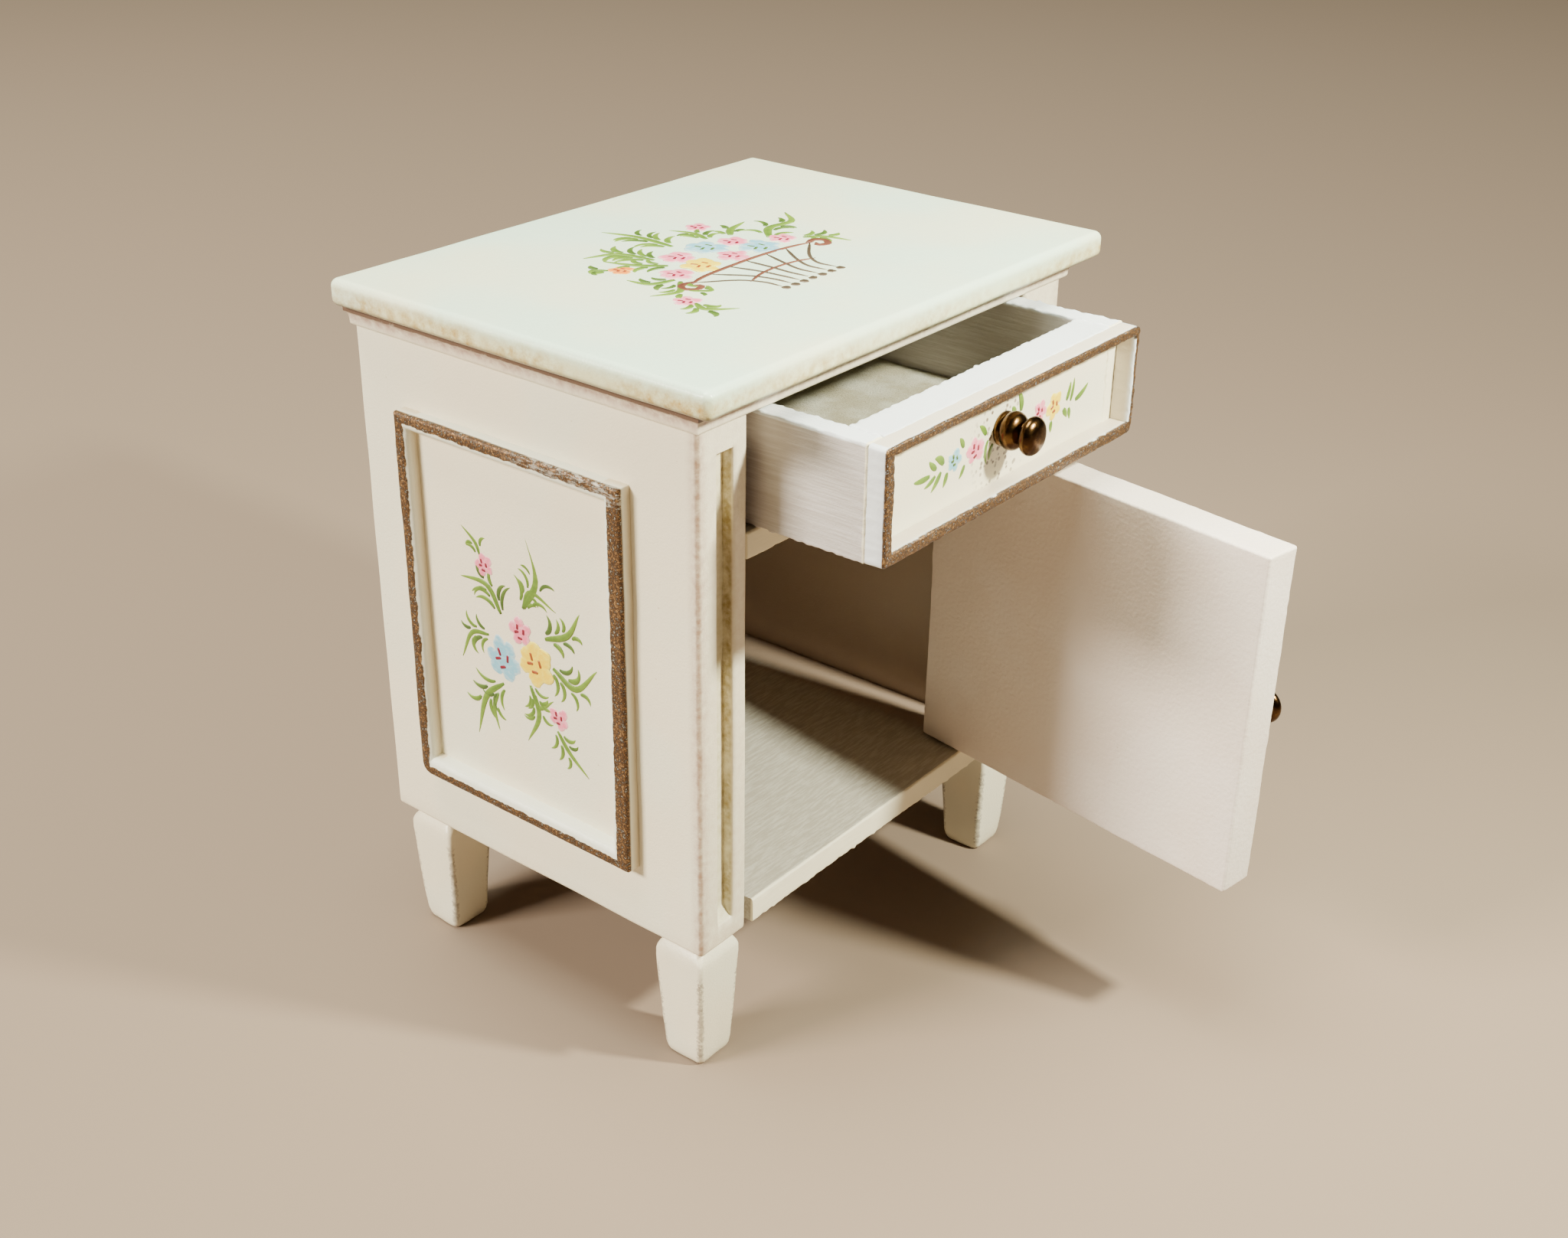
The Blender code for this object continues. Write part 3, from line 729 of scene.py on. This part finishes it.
def ring(rect, widths, profile, radii, to_local, step=0.5, ragged=0.012, seed=0.0):
    """A moulding that runs round a rectangle. profile is (share of the width, height) pairs."""
    left, right, low, high = widths
    run = 2.5 * max(*radii, 0.6)
    count = max(2, round(min(rect[1] - rect[0], rect[3] - rect[2]) / step))
    bm = bmesh.new()
    made = []
    for share, height in profile:
        points = outline(
            rect[0] + left * share, rect[1] - right * share, rect[2] + low * share, rect[3] - high * share,
            [max(0.03, radius - share * 0.8 * min(widths)) for radius in radii],
        )
        row = []
        for point, following in zip(points, points[1:] + points[:1]):
            cuts = count if math.dist(point, following) > run else 1
            for n in range(cuts):
                a, b = (here + (there - here) * (n / cuts) for here, there in zip(point, following))
                spot = Vector((a, b, height))
                soft = 0.05 * noise.noise(spot * 0.35 + Vector((seed, 0.0, 4.0)))
                rough = ragged * noise.noise(spot * 2.4 + Vector((2.0, seed, 0.0)))
                lift = height + (soft + rough if height > 0.3 else 0.0)
                row.append(bm.verts.new(to_local(a + soft + rough, b + soft - rough, lift)))
        made.append(row)
    for row, above in zip(made, made[1:] + made[:1]):
        for n in range(len(row)):
            m = (n + 1) % len(row)
            bm.faces.new((row[n], row[m], above[m], above[n]))
    return bm


def skin(bm, rings):
    """Joins rings of vertices into a closed skin, with a flat cap at each end."""
    for below, above in zip(rings, rings[1:]):
        for i in range(len(below)):
            j = (i + 1) % len(below)
            bm.faces.new((below[i], below[j], above[j], above[i]))
    bm.faces.new(list(reversed(rings[0])))
    bm.faces.new(rings[-1])


def loft(rings):
    bm = bmesh.new()
    skin(bm, [[bm.verts.new(point) for point in points] for points in rings])
    return bm


def smooth_through(points, count):
    """A smooth curve through the points, as count + 1 points."""
    points = [Vector(point) for point in points]
    padded = [points[0] * 2 - points[1]] + points + [points[-1] * 2 - points[-2]]
    curve = []
    for n in range(count + 1):
        place = n / count * (len(points) - 1)
        index = min(int(place), len(points) - 2)
        t = place - index
        before, start, end, after = padded[index:index + 4]
        curve.append(0.5 * (
            2 * start + (end - before) * t + (2 * before - 5 * start + 4 * end - after) * t * t
            + (3 * start - before - 3 * end + after) * t ** 3
        ))
    return curve


# ---------------------------------------------------------------- the cabinet
# The section of the side and door mouldings: (share of the width, height) pairs.
MOULDING = [(0.0, 0.0), (0.0, 0.6), (0.015, 1.08), (0.08, 1.2), (0.2, 1.25), (0.7, 1.25), (0.78, 1.2),
            (0.88, 1.08), (0.95, 0.98), (0.985, 0.7), (1.0, 0.0)]


def build_top():
    made = board((-25.17, -20.17, TOP_UNDER), (25.17, 17.77, 59.9), radius=0.65, step=0.7, seed=1.0)
    add_wooden("top", made, "cabinet", "top", ["top_board"], sharp=80)


def build_cornice():
    """The cove moulding under the top, swept round the front and both sides."""
    profile = [(0.0, 55.95), (0.26, 55.9), (0.36, 56.0)]
    for step in range(9):
        angle = math.radians(90 * step / 8)
        profile.append((0.92 - 0.52 * math.cos(angle), 56.12 + 0.98 * math.sin(angle)))
    profile += [(0.97, 57.2), (0.97, 57.55), (0.9, 57.68), (0.0, 57.68)]
    stations = [(-SIDE_OUTER, HALF_DEPTH - n, -1.0, 0.0) for n in range(35)]
    stations.append((-SIDE_OUTER, -HALF_DEPTH, -1.0, -1.0))
    stations += [(-SIDE_OUTER + n * 2 * SIDE_OUTER / 46, -HALF_DEPTH, 0.0, -1.0) for n in range(1, 46)]
    stations.append((SIDE_OUTER, -HALF_DEPTH, 1.0, -1.0))
    stations += [(SIDE_OUTER, -HALF_DEPTH + n, 1.0, 0.0) for n in range(1, 36)]
    rings = []
    for x, y, out_x, out_y in stations:
        wave = 0.03 * noise.noise(Vector((x * 0.3, y * 0.3, 5.0)))
        rings.append([(x + out_x * (out + wave), y + out_y * (out + wave), z) for out, z in profile])
    add_piece("cornice", loft(rings), "cabinet", "cornice",
              ["cornice_front", "cornice_left", "cornice_right"], sharp=40)


def flute(point, flat):
    """Sinks the points of a side board's front face that lie in its flute."""
    across = min(abs(flat[0]) - FLUTE_INNER, FLUTE_OUTER - abs(flat[0]))
    along = min(flat[2] - FLUTE_LOW, FLUTE_HIGH - flat[2])
    if flat[1] > 0.1 - HALF_DEPTH or across < -0.01 or along <= 0.0:
        return point
    sunk = FLUTE_DEPTH if across > 0.08 else 0.1 + FLUTE_DEPTH * max(0.0, across)
    point.y += sunk * min(1.0, flat[2] - FLUTE_LOW) ** 0.5
    return point


def build_sides():
    rises = (14.03, 14.12, 14.25, 14.45, 14.75, 15.1, 53.55, 53.68, 53.77)
    for name, sign in (("left", -1), ("right", 1)):
        low_x, high_x = sorted((sign * SIDE_INNER, sign * SIDE_OUTER))
        lip = sorted([sign * (FLUTE_INNER + shift) for shift in (-0.07, 0.02, 0.1)]
                     + [sign * (FLUTE_OUTER - shift) for shift in (-0.07, 0.02, 0.1)])
        made = board((low_x, -HALF_DEPTH, SIDE_FOOT), (high_x, HALF_DEPTH, SIDE_TOP), radius=0.38, step=0.8,
                     wobble=0.05, seed=4.0 + sign, extra=(lip, (), rises), shape=flute)
        add_wooden(f"{name}_board", made, "cabinet", "carcass", [f"{name}_side"])


def notch(point, flat):
    """Cuts back the cupboard floor's front left corner."""
    if flat[0] < -16.85 and flat[1] < -16.4:
        point.y = max(point.y, -16.35)
    return point


def front_edge(point):
    return point.y < -16.5


def build_boards():
    made = board((-17.75, -17.4, 12.15), (17.75, 15.8, 14.27), radius=0.16, step=0.35, ragged=0.12, seed=7.0,
                 extra=((-16.9, -16.84), (-16.4, -16.3), ()), shape=notch, ragged_where=front_edge)
    add_wooden("cupboard_floor", made, "cabinet", "inside", ["bottom_board"])
    made = board((-17.75, -17.4, 44.45), (17.75, 15.8, 46.55), radius=0.16, step=0.45, ragged=0.08, seed=8.0,
                 ragged_where=front_edge)
    add_wooden("divider", made, "cabinet", "inside", ["drawer_divider"])
    made = board((-17.7, 15.9, 12.25), (17.7, 17.4, 57.5), radius=0.12, step=1.2, wobble=0.05, seed=9.0)
    add_wooden("back", made, "cabinet", "inside", ["back_panel"])
    made = board((-17.7, -17.5, 56.0), (17.7, -12.5, 57.6), radius=0.12, step=0.9, wobble=0.03, seed=10.0)
    add_wooden("rail", made, "cabinet", "carcass", ["top_rail"])


def build_side_frames():
    for name, sign in (("left", -1), ("right", 1)):
        made = ring(SIDE_FRAME, (1.7, 1.25, 1.7, 1.35), MOULDING, (0.12, 0.12, 0.2, 0.9),
                    lambda a, b, h: (sign * (SIDE_OUTER + h), a, b), seed=sign * 2.0)
        add_wooden(f"{name}_frame", made, "cabinet", "side_frame",
                   [f"{name}_moulding_{side}" for side in ("top", "bottom", "front", "back")])


def build_feet():
    """Square tapering feet. Each level is a height, half the foot's width and a corner radius."""
    levels = [
        (0.0, 1.55, 0.5), (0.06, 1.68, 0.52), (0.2, 1.79, 0.52), (0.5, 1.89, 0.48), (1.0, 1.98, 0.44),
        (2.2, 2.05, 0.40), (3.5, 2.12, 0.38), (6.0, 2.27, 0.36), (8.5, 2.39, 0.36), (9.6, 2.43, 0.36),
        (10.3, 2.45, 0.38), (10.55, 2.41, 0.42), (10.85, 2.27, 0.45), (11.1, 2.07, 0.42), (11.3, 1.94, 0.34),
        (11.45, 1.90, 0.3), (SIDE_FOOT, 1.90, 0.3),
    ]
    for name, sign_x, sign_y in (
        ("foot_front_left", -1, -1), ("foot_front_right", 1, -1),
        ("foot_back_left", -1, 1), ("foot_back_right", 1, 1),
    ):
        rings = []
        for z, half, corner in levels:
            points = []
            for a, b in outline(-half, half, -half, half, (corner,) * 4, half / 3, 5):
                wave = 0.04 * noise.noise(Vector((a * 0.8 + sign_x * 3, b * 0.8 + sign_y * 5, z * 0.5)))
                if z in (0.0, SIDE_FOOT):
                    wave = 0.0
                points.append((sign_x * FOOT_X + a * (1 + wave), sign_y * FOOT_Y + b * (1 + wave), z))
            rings.append(points)
        add_piece("painted_" + name, loft(rings), "cabinet", "foot", [name], sharp=50)


# ---------------------------------------------------------------- the drawer
def build_drawer():
    inner = 15.0
    for name, low, high in (("left", -DRAWER_HALF, -15.05), ("right", 15.05, DRAWER_HALF)):
        made = board((low, DRAWER_FACE, 0.0), (high, DRAWER_BACK, DRAWER_HEIGHT), radius=0.16, step=0.22,
                     wobble=0.05, ragged=0.15, seed=12.0 + low, ragged_where=lambda point: point.y < 18.0)
        add_wooden(f"drawer_wall_{name}", made, "drawer", "wood", [f"drawer_side_{name}"])
    made = board((-inner, DRAWER_FACE, 0.0), (inner, 4.75, DRAWER_HEIGHT), radius=0.14, step=0.22,
                 wobble=0.05, ragged=0.14, seed=14.0)
    add_wooden("drawer_face", made, "drawer", "drawer_face", ["drawer_front"])
    made = board((-inner, 31.4, 0.0), (inner, DRAWER_BACK, DRAWER_HEIGHT), radius=0.14, step=0.6, seed=15.0)
    add_wooden("drawer_end", made, "drawer", "tray", ["drawer_back"])
    made = board((-15.02, 4.7, 0.0), (15.02, 31.35, 1.2), radius=0.1, step=0.5, seed=16.0)
    add_wooden("drawer_floor", made, "drawer", "tray", ["drawer_bottom"])
    profile = [(0.0, 0.05), (0.0, 0.8), (0.0, 1.5), (0.06, 1.62), (0.16, 1.65), (0.84, 1.65), (0.95, 1.6),
               (1.0, 1.48), (1.0, 0.8), (1.0, 0.05)]
    made = ring(DRAWER_FRAME, (1.0, 0.65, 0.95, 0.7), profile, (0.35, 0.3, 0.25, 0.45),
                lambda a, b, h: (a, 1.65 - h, b), step=0.25, ragged=0.05, seed=17.0)
    add_wooden("drawer_frame", made, "drawer", "drawer_frame",
               [f"drawer_moulding_{side}" for side in ("top", "bottom", "left", "right")])


def knob(name, body, at, cad):
    """A turned knob: a low flange and two beads close together."""
    outline_points = [(1.24, -0.02), (1.33, 0.08), (1.35, 0.20), (1.28, 0.31)]
    for centre, half, start, top in ((0.98, 0.90, -40, 68), (2.60, 0.73, -60, 90)):
        for step in range(17):
            angle = math.radians(start + (top - start) * step / 16)
            outline_points.append((max(0.02, 1.5 * math.cos(angle) ** 0.8), centre + half * math.sin(angle)))
    turns = [math.tau * n / 48 for n in range(48)]
    rings = [
        [(at[0] + radius * math.cos(turn), at[1] - rise, at[2] + radius * math.sin(turn)) for turn in turns]
        for radius, rise in outline_points
    ]
    add_piece(name, loft(rings), body, "brass", cad, sharp=60)


# ---------------------------------------------------------------- the door
def build_door():
    made = board((-30.80, -DOOR_HALF, 0.0), (2.5, DOOR_HALF, DOOR_HEIGHT), radius=0.22, step=0.6, wobble=0.06,
                 ragged=0.05, seed=20.0)
    add_wooden("door_slab", made, "door", "door", ["door_board"])
    made = ring(DOOR_FRAME, (1.7, 1.7, 1.7, 1.7), MOULDING, (0.15, 0.2, 0.12, 0.2),
                lambda a, b, h: (a, -DOOR_HALF - h, b), seed=22.0)
    add_wooden("door_frame", made, "door", "door_frame",
               [f"door_moulding_{side}" for side in ("top", "bottom", "hinge", "free")])


# ---------------------------------------------------------------- painted sprays
# Across a stroke: (place, share of the thickness, tone). A share below 0 lies under the surface.
STROKE_SECTION = ((-1.0, -0.01, 0.55), (-0.7, 0.7, 0.8), (0.0, 1.0, 1.0), (0.7, 0.7, 0.85), (1.0, -0.01, 0.6))
# Inwards over a dab: (share of its radius, share of the thickness, tone).
DAB_SECTION = ((1.0, -0.3, 0.1), (0.94, 0.3, 0.3), (0.75, 0.75, 0.7), (0.4, 1.0, 1.0))
DAB_SIDES = 18
UNDER = -0.01


class Spray:
    """Brush strokes in a plane, gathered by colour. at(a, b, h) gives a point of the body."""

    def __init__(self, name, body, at, weight=1.1):
        self.name, self.body, self.at, self.weight = name, body, at, weight
        self.parts = {}
        self.layer = 0

    def add(self, colour, rings):
        """Puts a closed skin over rings of (a, b, height, tone) into the colour's mesh."""
        bm, tones = self.parts.setdefault(colour, (bmesh.new(), []))
        tones += [tone for points in rings for a, b, h, tone in points]
        skin(bm, [[bm.verts.new(self.at(a, b, h)) for a, b, h, tone in points] for points in rings])

    def stroke(self, colour, points, width, thick=0.035, taper="comma"):
        """A brush stroke, pointed at both ends and fattest a little before its middle."""
        path = smooth_through([(a, b) for a, b in points], 14)
        self.layer += 1
        base = 0.004 + 0.0007 * (self.layer % 9)
        rings = []
        for n, point in enumerate(path):
            t = n / (len(path) - 1)
            ahead = path[min(n + 1, len(path) - 1)] - path[max(n - 1, 0)]
            side = Vector((-ahead.y, ahead.x)).normalized()
            if taper == "comma":
                share = math.sin(math.pi * min(1.0, 0.08 + 0.90 * t) ** 0.8) ** 0.7
            elif taper == "line":
                share = min(1.0, 6 * t + 0.3) * min(1.0, 5 * (1 - t) + 0.25)
            else:
                share = min(1.0, 5 * t + 0.45, 5 * (1 - t) + 0.35)
            half = max(0.02, width * share / 2)
            points = []
            for across, lift, tone in STROKE_SECTION:
                spot = point + side * half * across
                rise = base + thick * lift * min(1.0, share + 0.15)
                points.append((spot.x, spot.y, rise if lift > 0 else UNDER, tone * (1.0 - 0.55 * t ** 1.5)))
            rings.append(points)
        self.add(colour, rings)

    def blob(self, colour, a, b, size, stretch=1.0, turn=0.0, seed=0.0, thick=0.03):
        """A soft dab of paint."""
        self.layer += 1
        base = 0.002 + 0.0012 * (self.layer % 11)
        rings = []
        for share, lift, tone in DAB_SECTION:
            points = []
            for n in range(DAB_SIDES):
                angle = math.tau * n / DAB_SIDES
                round_spot = Vector((math.cos(angle) * 1.4 + seed, math.sin(angle) * 1.4, seed))
                radius = size * share * (1 + 0.30 * noise.noise(round_spot))
                along, across = radius * stretch * math.cos(angle), radius * math.sin(angle)
                points.append((
                    a + along * math.cos(turn) - across * math.sin(turn),
                    b + along * math.sin(turn) + across * math.cos(turn),
                    base + thick * lift if lift > 0 else UNDER, tone,
                ))
            rings.append(points)
        self.add(colour, rings)

    def flower(self, colour, dash, a, b, size, seed):
        """Five or six loose petals, size being the flower's radius, with a few small dark dashes."""
        chance = random.Random(seed)
        start = chance.random() * math.tau
        petals = 6 if size > 1.3 else 5
        for petal in range(petals):
            angle = start + math.tau * petal / petals + chance.uniform(-0.25, 0.25)
            reach = size * chance.uniform(0.46, 0.60)
            self.blob(
                colour, a + reach * math.cos(angle), b + reach * math.sin(angle),
                size * chance.uniform(0.38, 0.48), 1.15, angle + chance.uniform(-0.3, 0.3), seed + petal,
            )
        self.blob(colour, a, b, size * 0.58, seed=seed + 9, thick=0.042)
        dashes = min(0.75, size * 0.42)
        for across, up, lean in ((-0.55, 0.75, 100), (-0.75, -0.1, 20), (0.65, 0.25, 98), (-0.1, -0.95, 8)):
            lean = math.radians(lean + chance.uniform(-14, 14))
            spot = (a + dashes * across, b + dashes * up)
            step = (0.48 * dashes * math.cos(lean), 0.48 * dashes * math.sin(lean))
            self.stroke(
                dash, [(spot[0] - step[0], spot[1] - step[1]), spot, (spot[0] + step[0], spot[1] + step[1])],
                0.24 + 0.14 * dashes, thick=0.072, taper="dash",
            )

    def leaf(self, a, b, heading, length, curl, width, colour="leaf"):
        """One comma stroke along an arc, from its root towards its tip."""
        points = [(a, b)]
        for n in range(5):
            turn = math.radians(heading + curl * (n + 0.5) / 5)
            a, b = a + length / 5 * math.cos(turn), b + length / 5 * math.sin(turn)
            points.append((a, b))
        self.stroke(colour, points, width)

    def sprig(self, points, leaves, seed, width, size):
        """A long stroke through the points, with shorter commas that curl away on its two sides."""
        chance = random.Random(seed)
        tip = [end + 0.14 * (end - last) for last, end in zip(points[-2], points[-1])]
        points = [*points[:-1], tip]
        path = smooth_through([(a, b) for a, b in points], 20)
        leaves = round(leaves * 1.35 + 0.6)
        width *= self.weight
        self.stroke("leaf", points, width)
        for n in range(leaves):
            share = 0.02 + 0.60 * (n + 0.5) / leaves
            place = min(int(share * 20), 19)
            ahead = path[place + 1] - path[place]
            heading = math.degrees(math.atan2(ahead.y, ahead.x))
            side = 1 if (n + seed) % 2 else -1
            out = Vector((-ahead.y, ahead.x)).normalized() * side * (0.5 * width + 0.16)
            self.leaf(
                path[place].x + out.x, path[place].y + out.y, heading + side * chance.uniform(2, 14),
                size * chance.uniform(0.9, 1.25) * (1.15 - 0.45 * share), side * chance.uniform(75, 115),
                chance.uniform(0.34, 0.45) * self.weight, "leaf" if chance.random() < 0.65 else "leaf_dark",
            )

    def fill(self, sprigs, flowers):
        """Paints the sprigs, then the flowers over them, and makes one piece of each colour."""
        for sprig in sprigs:
            self.sprig(*sprig)
        for flower in flowers:
            self.flower(*flower)
        for colour, (bm, tones) in self.parts.items():
            obj = add_piece(f"{self.name}_{colour}", bm, self.body, colour)
            tone = obj.data.attributes.new("tone", "FLOAT", "POINT")
            tone.data.foreach_set("value", tones)


def side_spray(name, sign):
    """The spray on a side panel: three flowers in the middle, sprigs all round, two buds."""
    Spray(name, "cabinet", lambda a, b, h: (sign * (SIDE_OUTER + h), sign * a, b)).fill((
        (((-4.9, 40.0), (-5.4, 41.0), (-6.7, 41.9)), 2, 1, 0.42, 1.0),
        (((-2.9, 35.5), (-4.4, 37.6), (-7.2, 37.5)), 5, 2, 0.50, 1.9),
        (((-0.3, 36.9), (1.2, 39.7), (0.3, 42.8)), 3, 3, 0.74, 1.9),
        (((-0.4, 36.8), (0.6, 38.5), (2.9, 37.7)), 2, 4, 0.50, 1.1),
        (((1.9, 34.9), (4.3, 36.0), (5.5, 38.0)), 4, 5, 0.52, 1.5),
        (((2.6, 32.6), (5.0, 31.6), (7.0, 33.7)), 5, 6, 0.54, 1.6),
        (((0.0, 30.2), (0.8, 27.7), (-0.4, 25.3)), 4, 7, 0.56, 1.6),
        (((0.4, 29.6), (1.0, 28.5), (2.3, 29.5)), 1, 8, 0.44, 1.0),
        (((-3.0, 29.3), (-5.2, 27.3), (-6.2, 24.0)), 4, 9, 0.58, 1.9),
        (((-3.7, 28.2), (-4.3, 26.6), (-3.8, 24.7)), 1, 10, 0.46, 1.3),
        (((-4.4, 33.2), (-6.4, 32.7), (-7.5, 30.5)), 5, 11, 0.46, 1.5),
        (((2.8, 27.1), (4.0, 25.6), (5.8, 24.2)), 3, 12, 0.46, 1.4),
    ), (
        ("pink", "red", -0.8, 34.6, 1.3, 11), ("blue", "red", -2.9, 31.5, 1.95, 12),
        ("yellow", "rust", 0.7, 32.3, 1.9, 13), ("pink", "red", -4.5, 39.2, 1.02, 14),
        ("pink", "red", 3.0, 28.3, 1.08, 15),
    ))


def door_spray():
    """Three flowers and six sprigs in the middle of the door."""
    Spray("spray_door", "door", lambda a, b, h: (a, -DOOR_HALF - h, b)).fill((
        (((-15.4, 17.0), (-17.4, 18.6), (-20.6, 18.2)), 4, 21, 0.50, 1.7),
        (((-12.6, 17.0), (-10.6, 18.8), (-7.6, 18.0)), 4, 22, 0.50, 1.7),
        (((-12.2, 13.0), (-10.0, 11.4), (-7.2, 12.4)), 4, 23, 0.50, 1.7),
        (((-15.8, 12.8), (-17.8, 11.0), (-20.4, 11.6)), 4, 24, 0.50, 1.7),
        (((-13.9, 17.6), (-13.2, 19.6), (-14.2, 22.0)), 3, 25, 0.62, 1.7),
        (((-13.9, 12.4), (-14.4, 10.2), (-13.6, 7.8)), 3, 26, 0.56, 1.6),
    ), (
        ("blue", "red", -15.5, 14.5, 1.9, 27), ("yellow", "rust", -12.1, 14.4, 1.8, 28),
        ("pink", "red", -13.8, 16.7, 1.15, 29),
    ))


def drawer_spray():
    """A thin garland on the drawer's face, on both sides of the knob."""
    spray = Spray("spray_drawer", "drawer", lambda a, b, h: (a, DRAWER_FACE - h, b))
    for a, b, heading, length, curl, width in (
        (-9.3, 4.1, 186, 1.9, -8, 0.44), (-8.6, 3.9, 214, 1.3, -10, 0.38), (-7.9, 4.0, 236, 1.5, -8, 0.44),
        (-7.6, 4.5, 122, 1.2, 20, 0.5), (-8.5, 4.4, 150, 1.1, -10, 0.42), (-7.1, 3.7, 256, 1.0, -8, 0.44),
        (-5.1, 5.0, 108, 0.9, 12, 0.4), (-4.9, 3.6, 250, 1.0, -12, 0.38), (-2.2, 5.1, 118, 1.2, 14, 0.46),
        (-1.9, 4.6, 240, 1.7, 24, 0.34), (-1.2, 4.1, 236, 1.1, 10, 0.42), (2.5, 5.6, 80, 1.6, 24, 0.46),
        (1.7, 5.5, 110, 0.8, 10, 0.44), (9.1, 4.5, 62, 1.4, 10, 0.46), (9.7, 4.3, 70, 1.7, 8, 0.4),
        (10.4, 4.2, 10, 1.9, 14, 0.5), (8.7, 3.9, -40, 0.9, -10, 0.44), (9.5, 3.8, -66, 0.9, -8, 0.38),
        (7.0, 3.4, -80, 0.8, -8, 0.38),
    ):
        spray.leaf(a, b, heading, 1.15 * length, 2.4 * curl, 1.35 * width)
    spray.fill((), (
        ("blue", "leaf_dark", -6.2, 4.4, 0.9, 31), ("pink", "red", -3.5, 4.3, 1.15, 32),
        ("pink", "red", 5.2, 4.7, 0.95, 33), ("yellow", "rust", 7.3, 4.6, 1.1, 34),
    ))


def top_spray():
    """A flared basket of flowers on the top."""
    spray = Spray("spray_top", "cabinet", lambda a, b, h: (a, b, 59.915 + h), weight=1.4)
    for head, foot in (
        (-7.9, -4.25), (-5.4, -3.15), (-3.0, -2.1), (-1.0, -1.0), (1.4, 0.15), (3.6, 1.3), (6.2, 2.45),
    ):
        bow = foot + (head - foot) * 0.30
        top_line = -3.4 - 0.012 * (head + 0.8) ** 2
        wire = [(head, top_line), (bow, -6.0), (foot - 0.1, -7.8), (foot, -9.5)]
        spray.stroke("umber", wire, 0.30, 0.03, "line")
        spray.blob("umber", foot, -9.95, 0.36, 1.1, 0.3, head, 0.05)
    for points, width, thick in (
        (((-8.4, -4.1), (-6.4, -3.5), (-3.0, -3.25), (0.8, -3.2), (4.2, -3.5), (6.6, -4.1)), 0.40, 0.04),
        (((-4.9, -7.0), (-2.8, -6.3), (-0.6, -6.1), (1.4, -6.3), (3.2, -6.9)), 0.30, 0.03),
        (((-7.8, -3.8), (-9.1, -3.7), (-9.6, -4.5), (-9.0, -5.2), (-8.2, -4.9), (-8.6, -4.3)), 0.66, 0.05),
        (((6.0, -3.8), (7.1, -3.7), (7.6, -4.5), (7.0, -5.2), (6.2, -4.9), (6.6, -4.3)), 0.66, 0.05),
    ):
        spray.stroke("brown", points, width, thick, "line")
    spray.fill((
        (((-1.9, 3.6), (-1.8, 7.4), (-2.6, 10.2)), 6, 41, 0.52, 1.9),
        (((-5.6, 2.2), (-6.3, 5.4), (-8.6, 6.5)), 6, 42, 0.46, 1.9),
        (((-6.0, 0.4), (-7.6, 2.4), (-8.4, 4.6)), 3, 43, 0.46, 1.5),
        (((1.5, 2.9), (2.0, 4.8), (1.4, 6.6)), 4, 44, 0.46, 1.4),
        (((3.6, 2.2), (5.0, 3.3), (7.1, 3.8)), 2, 45, 0.50, 1.1),
        (((5.2, -0.6), (7.4, 1.2), (10.2, 1.1), (11.7, 2.9)), 4, 46, 0.56, 1.7),
        (((7.1, -2.6), (8.4, -3.8), (8.9, -5.8)), 3, 47, 0.42, 1.5),
        (((-8.4, -2.4), (-10.4, -1.7), (-10.8, 0.0)), 2, 48, 0.48, 1.3),
        (((-8.4, -3.0), (-10.4, -4.6), (-12.3, -3.8)), 3, 49, 0.50, 1.5),
        (((-11.6, -7.3), (-12.1, -8.8), (-10.6, -10.3)), 3, 50, 0.44, 1.3),
        (((-10.0, 3.0), (-10.8, 3.9), (-11.4, 3.5)), 2, 51, 0.38, 0.9),
        (((-9.4, -5.4), (-8.6, -6.2), (-7.9, -5.4)), 1, 52, 0.40, 0.9),
    ), [
        (colour, dash, a, b, 1.15 * size, seed) for colour, dash, a, b, size, seed in (
            ("pink", "red", -3.8, 1.3, 1.25, 61), ("blue", "leaf_dark", -0.3, 1.4, 1.5, 62),
            ("blue", "leaf_dark", 2.6, -1.7, 1.5, 63), ("pink", "red", -0.6, -1.6, 1.2, 64),
            ("yellow", "rust", -4.1, -1.5, 1.45, 65), ("pink", "red", -7.2, -1.6, 1.2, 66),
            ("pink", "red", 5.7, -1.6, 1.1, 67), ("pink", "red", 2.3, 0.9, 1.15, 68),
            ("pink", "red", -11.7, -6.5, 1.0, 69), ("pink", "red", 3.6, 5.7, 1.0, 70),
            ("orange", "rust", -9.3, 2.3, 0.95, 71),
        )
    ])


# ---------------------------------------------------------------- everything
make_camera()
LOOKS = make_looks()
make_stage()
build_top()
build_cornice()
build_sides()
build_boards()
build_side_frames()
build_feet()
build_drawer()
knob("brass_knob_drawer", "drawer", (0.0, DRAWER_FACE, 5.0), ["drawer_knob"])
build_door()
knob("brass_knob_door", "door", (-28.4, -DOOR_HALF, 14.05), ["door_knob"])
side_spray("spray_left", -1)
side_spray("spray_right", 1)
door_spray()
drawer_spray()
top_spray()
for name in ("door_pin_lower", "door_pin_upper"):
    nodes[name].data.materials.clear()
    nodes[name].data.materials.append(LOOKS["pin"].made)
